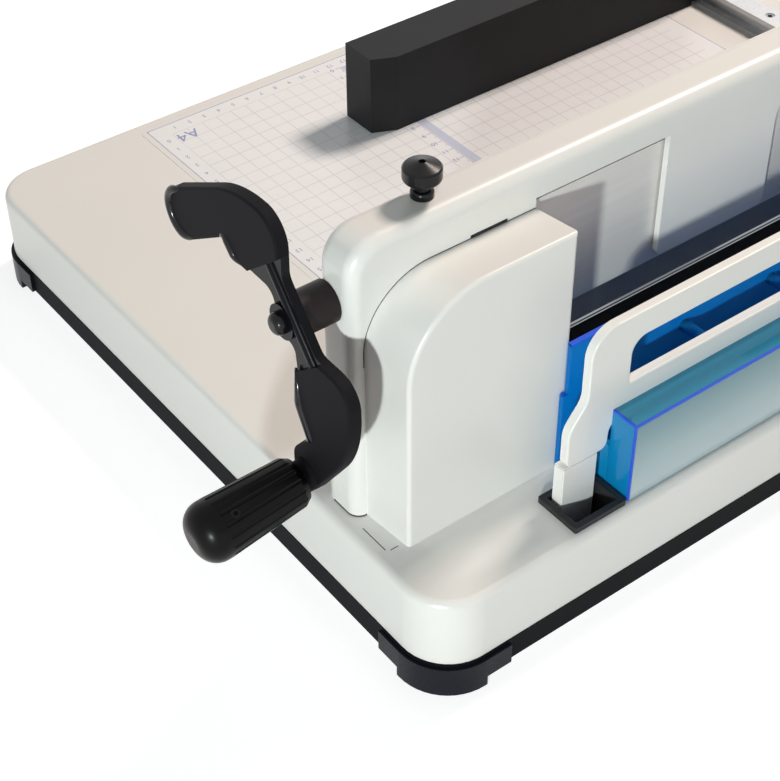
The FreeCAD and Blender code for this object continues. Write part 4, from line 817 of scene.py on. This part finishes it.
def railSockets():
    bm = bmesh.new()
    low, high = boxMm("rail_screws")
    x, z = (low[0] + high[0]) / 2, high[2] + hexSpec["railLift"]
    inset = (high[0] - low[0]) / 2
    for y in (low[1] + inset, (low[1] + high[1]) / 2, high[1] - inset):
        addRound(bm, (x, y, z), (0, 0, 1), **hexSpec["rail"])
    return meshFrom("railSockets", bm)


def leverSocket():
    bm = bmesh.new()
    low, high = boxMm("lever_bolt")
    place = ((low[0] + high[0]) / 2, low[1] - hexSpec["leverLift"], (low[2] + high[2]) / 2)
    addRound(bm, place, (0, -1, 0), **hexSpec["lever"])
    return meshFrom("leverSocket", bm)


addPiece("railSockets", railSockets(), paintedHollowShade, "base")
addPiece("leverSocket", leverSocket(), paintedHollowShade, "lever")
print("sockets set")

# light: a small cool lamp in front at the left, a warm softbox at the right, a weak fill in front
lightSpec = [
    {"name": "leftLamp", "place": (-1.41, -1.03, 0.48), "aim": (-0.25, -0.13, 0.13), "size": 0.08,
     "watts": 18.5, "tint": "f6fffd"},
    {"name": "rightSoftbox", "place": (1.05, 0.12, 1.5), "aim": (-0.1, 0.0, 0.1), "size": 0.36,
     "watts": 28, "tint": "fff0e4"},
    {"name": "frontFill", "place": (-0.2, -1.8, 0.3), "aim": (0.0, -0.1, 0.12), "size": 1.0,
     "watts": 1.8, "tint": "ffffff"},
]
for spec in lightSpec:
    lamp = bpy.data.lights.new(spec["name"], "AREA")
    lamp.size = spec["size"]
    lamp.energy = spec["watts"]
    lamp.color = srgb(spec["tint"])[:3]
    holder = bpy.data.objects.new(spec["name"], lamp)
    scene.collection.objects.link(holder)
    way = Vector(spec["aim"]) - Vector(spec["place"])
    turn = way.to_track_quat("-Z", "Y").to_matrix()
    holder.matrix_world = Matrix.Translation(spec["place"]) @ turn.to_4x4()

# white room: weak as a light, white where it is seen
worldSpec = {"light": 0.13, "seen": 1.0}
world = bpy.data.worlds.new("studio")
scene.world = world
world.use_nodes = True
tree = world.node_tree


def seenRays(tree):
    # one where the background itself is looked at: directly, in a mirror or through glass
    path = addNode(tree, "ShaderNodeLightPath")
    direct = addNode(tree, "ShaderNodeMath",
                     {0: path.outputs["Is Camera Ray"], 1: path.outputs["Is Transmission Ray"]},
                     operation="MAXIMUM")
    return addNode(tree, "ShaderNodeMath", {0: direct.outputs[0], 1: path.outputs["Is Glossy Ray"]},
                   operation="MAXIMUM").outputs[0]


level = addNode(tree, "ShaderNodeMapRange", {"Value": seenRays(tree)},
                {"To Min": worldSpec["light"], "To Max": worldSpec["seen"]})
shader = tree.nodes["Background"]
shader.inputs["Color"].default_value = (1, 1, 1, 1)
tree.links.new(level.outputs["Result"], shader.inputs["Strength"])

# floor: matt pale card, lifted to white for the camera, with the object's shadow kept; the lift grows
# with the distance from the object in metres, as the lamps fall off
floorSpec = {"half": 6, "tint": "c0c0c0", "rough": 0.9, "near": 0.7, "far": 1.8, "liftNear": 0.74,
             "liftFar": 1.0}
floorMesh = bpy.data.meshes.new("floor")
bm = bmesh.new()
bmesh.ops.create_grid(bm, x_segments=1, y_segments=1, size=floorSpec["half"])
bm.to_mesh(floorMesh)
bm.free()
floor = bpy.data.objects.new("floor", floorMesh)
scene.collection.objects.link(floor)
card = bpy.data.materials.new("paleCard")
card.use_nodes = True
tree = card.node_tree
shader = tree.nodes["Principled BSDF"]
shader.inputs["Base Color"].default_value = srgb(floorSpec["tint"])
shader.inputs["Roughness"].default_value = floorSpec["rough"]
away = addNode(tree, "ShaderNodeVectorMath", {0: addNode(tree, "ShaderNodeTexCoord").outputs["Object"]},
               operation="LENGTH")
glow = addNode(tree, "ShaderNodeMapRange", {"Value": away.outputs["Value"]},
               {"From Min": floorSpec["near"], "From Max": floorSpec["far"], "To Min": floorSpec["liftNear"],
                "To Max": floorSpec["liftFar"]}, interpolation_type="SMOOTHSTEP")
lift = addNode(tree, "ShaderNodeMath", {0: seenRays(tree), 1: glow.outputs["Result"]},
               operation="MULTIPLY")
shader.inputs["Emission Color"].default_value = (1, 1, 1, 1)
tree.links.new(lift.outputs[0], shader.inputs["Emission Strength"])
floorMesh.materials.append(card)
scene.view_settings.view_transform = "Standard"
print("light and floor set")
